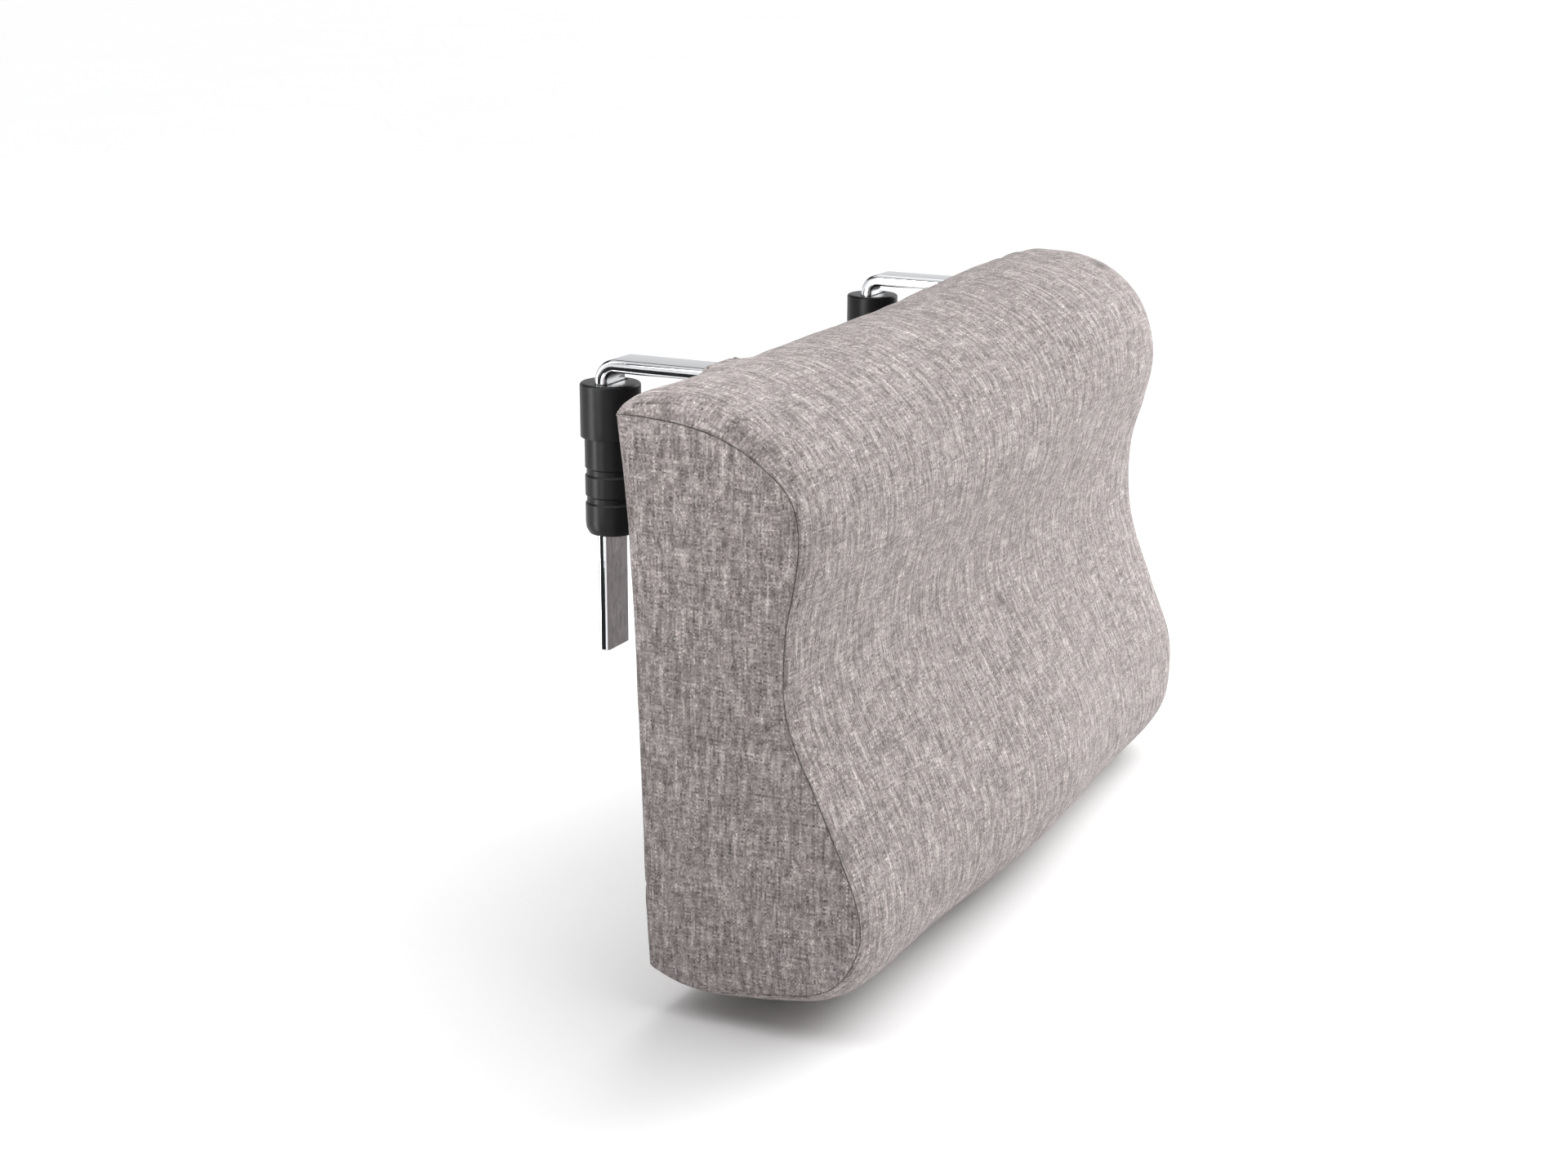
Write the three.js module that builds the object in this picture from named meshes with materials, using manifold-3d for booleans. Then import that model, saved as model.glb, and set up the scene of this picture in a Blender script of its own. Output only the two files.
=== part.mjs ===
// Height-adjustable headrest for a chair back.
// Two black plastic sockets stand in bored bosses on the chair's back frame.
// Two chromed flat-steel arms slide up and down in them, run forward over the
// top of the chair back, turn down inside the cushion and are screwed to a
// plywood board. A contoured foam block, a back foam sheet, a wadding wrap and
// a sewn cover with a zip at the lower back make up the cushion.
//
// Millimetres. Origin midway between the two socket collars, on the plane of
// their undersides. +X across the width, +Y to the back of the chair, +Z up.

import * as THREE from 'three';
import { mergeVertices } from 'three/addons/utils/BufferGeometryUtils.js';
import Module from 'manifold-3d';

// ---------------------------------------------------------------- dimensions
const SPACING = 290;            // centre distance of the two sockets and arms
const GAP = 0.3;                // running and assembly gap

const BAR_W = 20;               // flat bar of the arms, width along X
const BAR_T = 6;                // and thickness
const BAR_EDGE = 0.9;           // rounding of the bar's long edges
const BEND_R = 10;              // outer radius of both bends
const ARM_Z = 37;               // top face of the horizontal arm
const LEG_BOTTOM = -100;        // lower end of the leg in the socket
const INNER_BACK = -70;         // rear face of the leg inside the cushion
const INNER_BOTTOM = -64;       // its lower end
const SCREW_Z = [-2, -46];      // heights of the two screws of each arm

const COLLAR_R = 14;            // socket collar
const COLLAR_H = 25;
const SPIGOT_R = 12.2;          // socket spigot, for a 25 mm bore
const SPIGOT_H = 45;

const WIDTH = 460;              // cushion, along X
const CLOTH = 1.6;              // cover fabric with its foam lining
const WAD = 2.7;                // polyester wadding wrap
const BOARD = { x: 380, z0: -150, z1: 20, t: 12 };

const ZIP_S = 211;              // zip's distance down the back from the top corner
const ZIP_GAP = 14;             // cover opening that shows the zip
const ZIP_LEN = 400;            // chain length between its end stops
const TRAVEL_MARGIN = 8;        // chain left beyond the slider at each stop

// Outer outline of the cushion seen from its -X end, as (y, z), from the top
// back corner forward over the top, down the contoured front and back under.
const OUTLINE = [
  [-55, 34], [-57.2, 34.2], [-70, 35.8], [-86, 35], [-101, 31.5], [-114, 25.8], [-124.5, 18.3], [-132, 10],
  [-136.5, 0], [-138.8, -11], [-139, -22], [-137, -38], [-134, -52], [-132.3, -66],
  [-132, -80], [-134, -94], [-138.5, -108], [-145, -123], [-152, -138], [-159, -153],
  [-164.5, -167], [-167, -181], [-166.5, -194], [-163, -205], [-155.5, -214.5],
  [-144.5, -221.5], [-129, -225.5], [-112, -227.5], [-94, -227.8], [-79, -224.6],
  [-68.6, -217.8], [-66, -216],
];

// -------------------------------------------------------------------- colours
const C = {
  cloth: [0xaaa5a1, 0.95, 0.0],
  foam: [0xe9dfb8, 0.95, 0.0],
  wadding: [0xf2f1ee, 0.98, 0.0],
  wood: [0xc9a675, 0.75, 0.0],
  chrome: [0xc4c6ca, 0.12, 1.0],
  zinc: [0xb3b4b0, 0.38, 1.0],
  black: [0x19191b, 0.5, 0.0],
  tape: [0x8f8b87, 0.9, 0.0],
  chain: [0x6f6c69, 0.45, 0.0],
  nickel: [0xa9a8a4, 0.3, 1.0],
};
const mat = ([color, roughness, metalness]) => new THREE.MeshStandardMaterial({ color, roughness, metalness });

// ------------------------------------------------------------ solid utilities
const wasm = await Module();
wasm.setup();

function solid(geometry) {
  const g = geometry.clone();
  g.deleteAttribute('normal');
  g.deleteAttribute('uv');
  const m = mergeVertices(g, 1e-4);
  const tris = [];
  for (let i = 0; i < m.index.count; i += 3) {
    const [a, b, c] = [m.index.getX(i), m.index.getX(i + 1), m.index.getX(i + 2)];
    if (a !== b && b !== c && c !== a) tris.push(a, b, c);
  }
  return new wasm.Manifold(new wasm.Mesh({
    numProp: 3,
    vertProperties: new Float32Array(m.attributes.position.array),
    triVerts: new Uint32Array(tris),
  }));
}

function geometryOf(manifold) {
  const m = manifold.getMesh();
  const g = new THREE.BufferGeometry();
  g.setAttribute('position', new THREE.BufferAttribute(new Float32Array(m.vertProperties), 3));
  g.setIndex(new THREE.BufferAttribute(new Uint32Array(m.triVerts), 1));
  g.computeVertexNormals();
  return g;
}

const cut = (a, ...bs) => geometryOf(bs.reduce((s, b) => s.subtract(solid(b)), solid(a)));

// A (y, z) outline extruded along X from x0 to x1, with an optional edge bevel.
const TO_X = new THREE.Matrix4().set(0, 0, 1, 0, 1, 0, 0, 0, 0, 1, 0, 0, 0, 0, 0, 1);
function prismX(points, x0, x1, bevel = 0) {
  const shape = new THREE.Shape(points.map(([y, z]) => new THREE.Vector2(y, z)));
  const g = new THREE.ExtrudeGeometry(shape, {
    depth: x1 - x0 - 2 * bevel,
    bevelEnabled: bevel > 0,
    bevelThickness: bevel,
    bevelSize: bevel,
    bevelOffset: -bevel,
    bevelSegments: 2,
    curveSegments: 8,
  });
  g.translate(0, 0, x0 + bevel);
  g.applyMatrix4(TO_X);
  return g;
}

function box(x0, x1, y0, y1, z0, z1) {
  const g = new THREE.BoxGeometry(x1 - x0, y1 - y0, z1 - z0);
  g.translate((x0 + x1) / 2, (y0 + y1) / 2, (z0 + z1) / 2);
  return g;
}

// The outline moved inwards by d, vertex for vertex.
function inset(points, d) {
  const n = points.length;
  const area = points.reduce((s, [y, z], i) => {
    const [y2, z2] = points[(i + 1) % n];
    return s + (y * z2 - y2 * z);
  }, 0);
  const side = area > 0 ? 1 : -1;
  return points.map((p, i) => {
    const a = points[(i + n - 1) % n];
    const b = points[(i + 1) % n];
    const u = new THREE.Vector2(p[0] - a[0], p[1] - a[1]).normalize();
    const v = new THREE.Vector2(b[0] - p[0], b[1] - p[1]).normalize();
    const nu = new THREE.Vector2(-u.y, u.x).multiplyScalar(side);
    const nv = new THREE.Vector2(-v.y, v.x).multiplyScalar(side);
    const h = nu.clone().add(nv).normalize();
    const k = d / Math.max(0.4, h.dot(nu));
    return [p[0] + h.x * k, p[1] + h.y * k];
  });
}

const object = new THREE.Group();
function add(name, geometry, colour, parent = object) {
  const mesh = new THREE.Mesh(geometry, mat(C[colour]));
  mesh.name = name;
  parent.add(mesh);
  return mesh;
}

// ------------------------------------------------------------ sockets and arms
// Collar with a seat for the bored boss below it, and a ribbed spigot. A
// rectangular way for the bar runs right through.
function socketGeometry() {
  const p = [
    [0, -SPIGOT_H], [SPIGOT_R - 1.6, -SPIGOT_H], [SPIGOT_R - 0.3, -SPIGOT_H + 2.5],
    [SPIGOT_R, -SPIGOT_H + 5], [SPIGOT_R, -31], [SPIGOT_R - 0.7, -30.4], [SPIGOT_R - 0.7, -27.6],
    [SPIGOT_R, -27], [SPIGOT_R, -18], [SPIGOT_R - 0.7, -17.4], [SPIGOT_R - 0.7, -14.6], [SPIGOT_R, -14],
    [SPIGOT_R, 0], [COLLAR_R - 0.3, 0], [COLLAR_R, 0.4],
    [COLLAR_R, COLLAR_H - 1.2], [COLLAR_R - 0.35, COLLAR_H - 0.35], [COLLAR_R - 1.2, COLLAR_H], [0, COLLAR_H],
  ].map(([r, z]) => new THREE.Vector2(r, z));
  const g = new THREE.LatheGeometry(p, 40);
  g.rotateX(Math.PI / 2);
  const w = BAR_W / 2 + GAP;
  const t = BAR_T / 2 + GAP;
  return cut(g, box(-w, w, -t, t, -SPIGOT_H - 5, COLLAR_H + 5));
}

// Side outline of the bar: leg, bend, arm, bend, inner leg.
function armOutline() {
  const N = 10;
  const inner = BEND_R - BAR_T;
  const yOut = BAR_T / 2;                 // rear face of the leg
  const yIn = INNER_BACK - BAR_T;         // front face of the inner leg
  const arc = (cy, cz, r, a0, a1) => Array.from({ length: N + 1 }, (_, i) => {
    const a = a0 + ((a1 - a0) * i) / N;
    return [cy + r * Math.cos(a), cz + r * Math.sin(a)];
  });
  const cz = ARM_Z - BEND_R;
  return [
    [yOut, LEG_BOTTOM],
    ...arc(yOut - BEND_R, cz, BEND_R, 0, Math.PI / 2),
    ...arc(yIn + BEND_R, cz, BEND_R, Math.PI / 2, Math.PI),
    [yIn, INNER_BOTTOM], [yIn + BAR_T, INNER_BOTTOM],
    ...arc(yIn + BEND_R, cz, inner, Math.PI, Math.PI / 2),
    ...arc(yOut - BEND_R, cz, inner, Math.PI / 2, 0),
    [yOut - BAR_T, LEG_BOTTOM],
  ];
}

function armGeometry() {
  const holes = SCREW_Z.map((z) => {
    const h = new THREE.CylinderGeometry(3.4, 3.4, 20, 20);
    h.translate(0, INNER_BACK - BAR_T / 2, z);
    return h;
  });
  return cut(prismX(armOutline(), -BAR_W / 2, BAR_W / 2, BAR_EDGE), ...holes);
}

// Pan-head screw along Y: head behind the inner leg, point towards the front.
function screwGeometry() {
  const headTop = 3.6;
  const p = [
    [0, -18.5], [2.3, -18.5], [2.9, -17.6], [2.9, 0], [5.6, 0], [5.6, 1.4], [5.0, 2.7], [3.4, headTop],
    [2.2, headTop], [1.4, headTop - 1.8], [0, headTop - 1.8],
  ].map(([r, y]) => new THREE.Vector2(r, y));
  return new THREE.LatheGeometry(p, 20);
}

// Tee nut pressed into the board from the front: flange and hollow barrel.
function teeNutGeometry() {
  const p = [
    [3.3, -1.2], [9.5, -1.2], [9.5, 0], [4.3, 0], [4.3, 8.5], [3.3, 8.5], [3.3, -1.2],
  ].map(([r, y]) => new THREE.Vector2(r, y));
  return new THREE.LatheGeometry(p, 24);
}

const BOARD_BACK = INNER_BACK - BAR_T - GAP;         // rear face of the board
const BOARD_FRONT = BOARD_BACK - BOARD.t;

for (const [side, x] of [['left', -SPACING / 2], ['right', SPACING / 2]]) {
  const station = new THREE.Group();
  station.position.set(x, 0, 0);
  object.add(station);
  add(`socket_${side}`, socketGeometry(), 'black', station);
  add(`arm_${side}`, armGeometry(), 'chrome', station);
  SCREW_Z.forEach((z, i) => {
    const level = i === 0 ? 'upper' : 'lower';
    add(`arm_screw_${side}_${level}`, screwGeometry(), 'zinc', station).position.set(0, INNER_BACK + GAP, z);
    add(`tee_nut_${side}_${level}`, teeNutGeometry(), 'zinc', station).position.set(0, BOARD_FRONT - GAP, z);
  });
}

// ------------------------------------------------------------------ back board
{
  const holes = [];
  for (const sx of [-1, 1]) {
    for (const z of SCREW_Z) {
      const h = new THREE.CylinderGeometry(4.6, 4.6, BOARD.t + 8, 20);
      h.translate((sx * SPACING) / 2, BOARD_BACK - BOARD.t / 2, z);
      holes.push(h);
    }
  }
  const R = 22;
  const hw = BOARD.x / 2;
  const outline = new THREE.Shape();
  outline.moveTo(-hw + R, BOARD.z0);
  outline.lineTo(hw - R, BOARD.z0);
  outline.absarc(hw - R, BOARD.z0 + R, R, -Math.PI / 2, 0, false);
  outline.lineTo(hw, BOARD.z1 - R);
  outline.absarc(hw - R, BOARD.z1 - R, R, 0, Math.PI / 2, false);
  outline.lineTo(-hw + R, BOARD.z1);
  outline.absarc(-hw + R, BOARD.z1 - R, R, Math.PI / 2, Math.PI, false);
  outline.lineTo(-hw, BOARD.z0 + R);
  outline.absarc(-hw + R, BOARD.z0 + R, R, Math.PI, 1.5 * Math.PI, false);
  const g = new THREE.ExtrudeGeometry(outline, { depth: BOARD.t, bevelEnabled: false, curveSegments: 6 });
  g.rotateX(Math.PI / 2);                 // outline's up stays +Z, depth runs to the front
  g.translate(0, BOARD_BACK, 0);
  add('back_board', cut(g, ...holes), 'wood');
}

// ----------------------------------------------------------------- foam pieces
const HALF = WIDTH / 2;
const coreX = HALF - CLOTH - GAP;                    // foam and wadding end here
const CORE = CLOTH + GAP + WAD + GAP;                // cover and wadding over the foam
const BODY = OUTLINE.filter((_, i) => i !== 1 && i !== OUTLINE.length - 2);   // without the two seam points
const core = inset(BODY, CORE);
const big = 400;
{
  const front = prismX(core, -coreX, coreX);
  const behind = box(-big, big, BOARD_BACK - GAP, 50, -big, big);
  const pocket = box(-BOARD.x / 2 - 0.6, BOARD.x / 2 + 0.6, BOARD_FRONT - GAP, 50, BOARD.z0 - 0.6, BOARD.z1 + 0.6);
  const reliefs = [];
  for (const sx of [-1, 1]) {
    for (const z of SCREW_Z) {
      reliefs.push(box((sx * SPACING) / 2 - 12, (sx * SPACING) / 2 + 12, BOARD_FRONT - 11, -70, z - 12, z + 12));
    }
  }
  add('foam_front', cut(front, behind, pocket, ...reliefs), 'foam');
}
{
  const sheet = prismX(core, -coreX, coreX);
  const ahead = box(-big, big, -big, BOARD_BACK + GAP, -big, big);
  const ways = [-1, 1].map((sx) => box(
    (sx * SPACING) / 2 - BAR_W / 2 - 0.6, (sx * SPACING) / 2 + BAR_W / 2 + 0.6, -big, 50, INNER_BOTTOM - 0.6, big));
  add('foam_back', cut(sheet, ahead, ...ways), 'foam');
}

// --------------------------------------------------------------- wadding wrap
{
  const outer = inset(OUTLINE, CLOTH + GAP);
  const inner = inset(OUTLINE, CLOTH + GAP + WAD);
  const from = 3;
  const to = OUTLINE.length - 3;
  const strip = [...outer.slice(from, to), ...inner.slice(from, to).reverse()];
  add('wadding_wrap', prismX(strip, -coreX, coreX), 'wadding');
}

// ---------------------------------------------------------------- sewn cover
// Main panel: over the top, down the front and under. The arms leave through
// two notches at its rear edge.
const armWays = (zLow) => [-1, 1].map((sx) => box(
  (sx * SPACING) / 2 - BAR_W / 2 - 0.5, (sx * SPACING) / 2 + BAR_W / 2 + 0.5,
  INNER_BACK - BAR_T - 0.5, 0, zLow, 60));
{
  const last = OUTLINE.length - 1;
  const inner = inset(OUTLINE, CLOTH);
  const strip = [...OUTLINE.slice(1, last), ...inner.slice(1, last).reverse()];
  add('cover_main', cut(prismX(strip, -HALF, HALF), ...armWays(20)), 'cloth');
}
{
  const panel = inset(BODY, CLOTH + GAP);
  add('cover_side_left', prismX(panel, -HALF, -HALF + CLOTH), 'cloth');
  add('cover_side_right', prismX(panel, HALF - CLOTH, HALF), 'cloth');
}

// Back panel in two pieces with the zip between them. Both lie along the
// leaning back line, so they and the zip are placed in a turned group whose
// local +Z runs up the back and local +Y points out of it.
const [yTop, zTop] = OUTLINE[0];
const [yBot, zBot] = OUTLINE[OUTLINE.length - 1];
const backLen = Math.hypot(yTop - yBot, zTop - zBot);
const lean = Math.atan2(yTop - yBot, zTop - zBot);
const backGroup = new THREE.Group();
backGroup.position.set(0, yTop, zTop);
backGroup.rotation.x = -lean;
object.add(backGroup);

const panelX = HALF - CLOTH - GAP;
const zipTop = -ZIP_S + ZIP_GAP / 2;
const zipBottom = -ZIP_S - ZIP_GAP / 2;
{
  const upper = box(-panelX, panelX, -CLOTH, 0, zipTop, 0);
  const notches = [-1, 1].map((sx) => box(
    (sx * SPACING) / 2 - BAR_W / 2 - 0.5, (sx * SPACING) / 2 + BAR_W / 2 + 0.5, -10, 10, -4.2, 10));
  add('cover_back_upper', cut(upper, ...notches), 'cloth', backGroup);
  add('cover_back_lower', box(-panelX, panelX, -CLOTH, 0, -backLen + 2.3, zipBottom), 'cloth', backGroup);
}

// ------------------------------------------------------------------------ zip
const CHAIN_W = 4.6;
const chainHalf = ZIP_LEN / 2;
{
  const tapeIn = CHAIN_W / 2 + GAP;
  const tape = (z0, z1) => box(-chainHalf - 12, chainHalf + 12, -CLOTH - GAP - 0.7, -CLOTH - GAP, z0, z1);
  add('zip_tape_upper', tape(-ZIP_S + tapeIn, -ZIP_S + 13), 'tape', backGroup);
  add('zip_tape_lower', tape(-ZIP_S - 13, -ZIP_S - tapeIn), 'tape', backGroup);

  // Coil chain as one closed strip with a shallow row of ridges.
  const chain = new THREE.Shape();
  const step = 10;
  chain.moveTo(-chainHalf, -1.9);
  chain.lineTo(chainHalf, -1.9);
  chain.lineTo(chainHalf, -0.5);
  for (let x = chainHalf; x > -chainHalf + 1e-6; x -= step) {
    chain.lineTo(x - step * 0.25, -0.3);
    chain.lineTo(x - step * 0.75, -0.3);
    chain.lineTo(x - step, -0.55);
  }
  const g = new THREE.ExtrudeGeometry(chain, { depth: CHAIN_W, bevelEnabled: false });
  g.translate(0, 0, -CHAIN_W / 2 - ZIP_S);
  add('zip_chain', g, 'chain', backGroup);

  for (const [side, sx] of [['left', -1], ['right', 1]]) {
    const x0 = sx > 0 ? chainHalf + GAP : -chainHalf - GAP - 3;
    add(`zip_stop_${side}`, box(x0, x0 + 3, -1.5, 0.5, -ZIP_S - 3, -ZIP_S + 3), 'nickel', backGroup);
  }
}

const PULL_Y = 2.15;            // height of the pull's pivot over the cover

// Slider: a plate over the chain with a flange down each side and a bridge
// that holds the pull. It stands at the closed end, towards +X.
const SLIDER_X = chainHalf - TRAVEL_MARGIN;
const slider = new THREE.Group();
slider.position.set(SLIDER_X, 0, -ZIP_S);
backGroup.add(slider);
{
  // Cross-section across the chain, as (y, z), extruded along X.
  const w = CHAIN_W / 2 + GAP;
  const u = [
    [1.2, -w - 1.4], [1.2, w + 1.4], [-1.5, w + 1.4], [-1.5, w], [0.0, w], [0.0, -w], [-1.5, -w], [-1.5, -w - 1.4],
  ];
  let body = solid(prismX(u, -5.5, 5.5));
  // Bridge over the pull's cross bar, as an arch in the (x, y) plane.
  const arch = new THREE.Shape([
    [-3.2, 1.0], [-3.2, 2.9], [-2.4, 4.0], [2.4, 4.0], [3.2, 2.9], [3.2, 1.0],
    [2.2, 1.0], [2.2, 2.6], [1.8, 3.1], [-1.8, 3.1], [-2.2, 2.6], [-2.2, 1.0],
  ].map(([x, y]) => new THREE.Vector2(x, y)));
  const bridge = new THREE.ExtrudeGeometry(arch, { depth: 1.8, bevelEnabled: false });
  bridge.translate(0, 0, -0.9);
  body = body.add(solid(bridge));
  add('zip_slider', geometryOf(body), 'nickel', slider);

  // Pull: cross bar under the bridge, two side arms and a rounded tab,
  // lying along +X against the cover. It turns about the cross bar.
  const tab = new THREE.Shape([
    [-0.5, -2.6], [5, -2.6], [7, -3.0], [24, -3.4], [26.2, -2.6], [27.2, 0], [26.2, 2.6], [24, 3.4], [7, 3.0], [5, 2.6], [-0.5, 2.6],
  ].map(([x, y]) => new THREE.Vector2(x, y)));
  const eye = new THREE.Path([[0.55, -1.5], [0.55, 1.5], [4.6, 1.5], [4.6, -1.5]].map(([x, y]) => new THREE.Vector2(x, y)));
  tab.holes.push(eye);
  const grip = new THREE.Path([[19, -1.6], [19, 1.6], [23.4, 1.6], [23.4, -1.6]].map(([x, y]) => new THREE.Vector2(x, y)));
  tab.holes.push(grip);
  const pull = new THREE.ExtrudeGeometry(tab, { depth: 1.0, bevelEnabled: false });
  pull.rotateX(Math.PI / 2);              // tab's thickness now runs along the panel's normal
  pull.translate(0, 0.5, 0);
  const pivot = new THREE.Group();
  pivot.position.set(0, PULL_Y, 0);
  slider.add(pivot);
  add('zip_pull', pull, 'nickel', pivot);
}

export default object;
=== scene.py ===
import math

import bmesh
import bpy
import numpy as np
from mathutils import Matrix, Vector
from mathutils.geometry import delaunay_2d_cdt


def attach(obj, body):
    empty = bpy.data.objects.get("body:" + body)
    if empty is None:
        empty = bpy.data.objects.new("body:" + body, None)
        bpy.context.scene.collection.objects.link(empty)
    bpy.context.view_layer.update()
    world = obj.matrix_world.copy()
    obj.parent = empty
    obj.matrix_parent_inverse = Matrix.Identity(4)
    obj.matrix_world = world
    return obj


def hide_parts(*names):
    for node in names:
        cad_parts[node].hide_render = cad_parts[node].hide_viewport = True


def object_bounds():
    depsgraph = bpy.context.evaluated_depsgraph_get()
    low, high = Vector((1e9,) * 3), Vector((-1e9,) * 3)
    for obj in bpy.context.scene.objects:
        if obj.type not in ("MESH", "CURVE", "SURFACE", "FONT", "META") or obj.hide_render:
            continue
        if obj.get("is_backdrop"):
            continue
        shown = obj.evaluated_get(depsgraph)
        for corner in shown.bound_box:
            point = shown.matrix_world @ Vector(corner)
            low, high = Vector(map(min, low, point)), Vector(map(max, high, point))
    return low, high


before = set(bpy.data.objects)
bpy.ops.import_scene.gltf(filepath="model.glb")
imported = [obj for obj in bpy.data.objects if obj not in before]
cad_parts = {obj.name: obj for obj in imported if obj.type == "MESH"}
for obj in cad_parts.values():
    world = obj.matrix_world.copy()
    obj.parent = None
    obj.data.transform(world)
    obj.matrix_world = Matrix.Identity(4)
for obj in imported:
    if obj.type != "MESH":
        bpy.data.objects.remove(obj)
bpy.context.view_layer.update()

MM = 0.001
scene = bpy.context.scene
rng = np.random.default_rng(7)

# ------------------------------------------------------------------ camera
# Looks from the front left, a little above, at the left end of the headrest.
CAM = dict(lens=55.9, az=1.115, el=0.275, roll=0.0045, at=(-1.08695, -0.54996, 0.23509))


def make_camera():
    data = bpy.data.cameras.new("camera")
    cam = bpy.data.objects.new("camera", data)
    scene.collection.objects.link(cam)
    az, el, roll = CAM["az"], CAM["el"], CAM["roll"]
    d = Vector((math.sin(az) * math.cos(el), math.cos(az) * math.cos(el), -math.sin(el)))
    r = Vector((math.cos(az), -math.sin(az), 0))
    u = r.cross(d)
    c, s = math.cos(roll), math.sin(roll)
    right, up = c * r + s * u, -s * r + c * u
    m = Matrix((right, up, -d)).transposed().to_4x4()
    m.translation = Vector(CAM["at"])
    cam.matrix_world = m
    data.sensor_width = 36.0
    data.lens = CAM["lens"]
    data.clip_start = 0.01
    data.clip_end = 60
    scene.camera = cam


make_camera()

# ------------------------------------------------------------------ helpers


def new_object(name, verts, faces, collection=None):
    me = bpy.data.meshes.new(name)
    me.from_pydata([tuple(v) for v in verts], [], [tuple(f) for f in faces])
    me.validate()
    me.update()
    ob = bpy.data.objects.new(name, me)
    scene.collection.objects.link(ob)
    return ob


def evaluated(ob):
    """The mesh of ob with its modifiers applied, as a new mesh."""
    bpy.context.view_layer.update()
    dg = bpy.context.evaluated_depsgraph_get()
    return bpy.data.meshes.new_from_object(ob.evaluated_get(dg), preserve_all_data_layers=True, depsgraph=dg)


def bake_modifiers(ob):
    me = evaluated(ob)
    old = ob.data
    ob.modifiers.clear()
    ob.data = me
    bpy.data.meshes.remove(old)
    me.name = ob.name
    return ob


def smooth(ob, angle=None):
    me = ob.data
    me.polygons.foreach_set("use_smooth", [True] * len(me.polygons))
    if angle is not None:
        me.set_sharp_from_angle(angle=math.radians(angle))
    me.update()


def recalc(ob):
    bm = bmesh.new()
    bm.from_mesh(ob.data)
    bmesh.ops.recalc_face_normals(bm, faces=bm.faces)
    bm.to_mesh(ob.data)
    bm.free()
    ob.data.update()


def coords(me):
    co = np.zeros(len(me.vertices) * 3)
    me.vertices.foreach_get("co", co)
    return co.reshape(-1, 3)


def set_coords(me, co):
    me.vertices.foreach_set("co", np.asarray(co, float).ravel())
    me.update()


def boolean(ob, cutter, op="DIFFERENCE"):
    m = ob.modifiers.new("cut", "BOOLEAN")
    m.operation = op
    m.solver = "EXACT"
    m.object = cutter
    bake_modifiers(ob)
    bpy.data.objects.remove(cutter)
    return ob


def smoothstep(t):
    t = np.clip(t, 0, 1)
    return t * t * (3 - 2 * t)


def value_noise(p, seed=0):
    """Smooth noise in [-1, 1] for an (n, k) array of points, the same every run."""
    p = np.asarray(p, float)
    k = p.shape[1]
    base = np.floor(p).astype(np.int64)
    f = p - base
    f = f * f * (3 - 2 * f)
    out = np.zeros(len(p))
    for corner in range(2 ** k):
        h = np.full(len(p), seed * 7919 + 104729, np.int64)
        w = np.ones(len(p))
        for a in range(k):
            bit = (corner >> a) & 1
            h = (h * 1103515245 + (base[:, a] + bit) * (374761393 + 668265263 * a) + 12345) & 0x7FFFFFFF
            w *= f[:, a] if bit else 1 - f[:, a]
        h = (h ^ (h >> 13)) * 1274126177 & 0x7FFFFFFF
        out += w * (h / 0x3FFFFFFF - 1)
    return out


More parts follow.
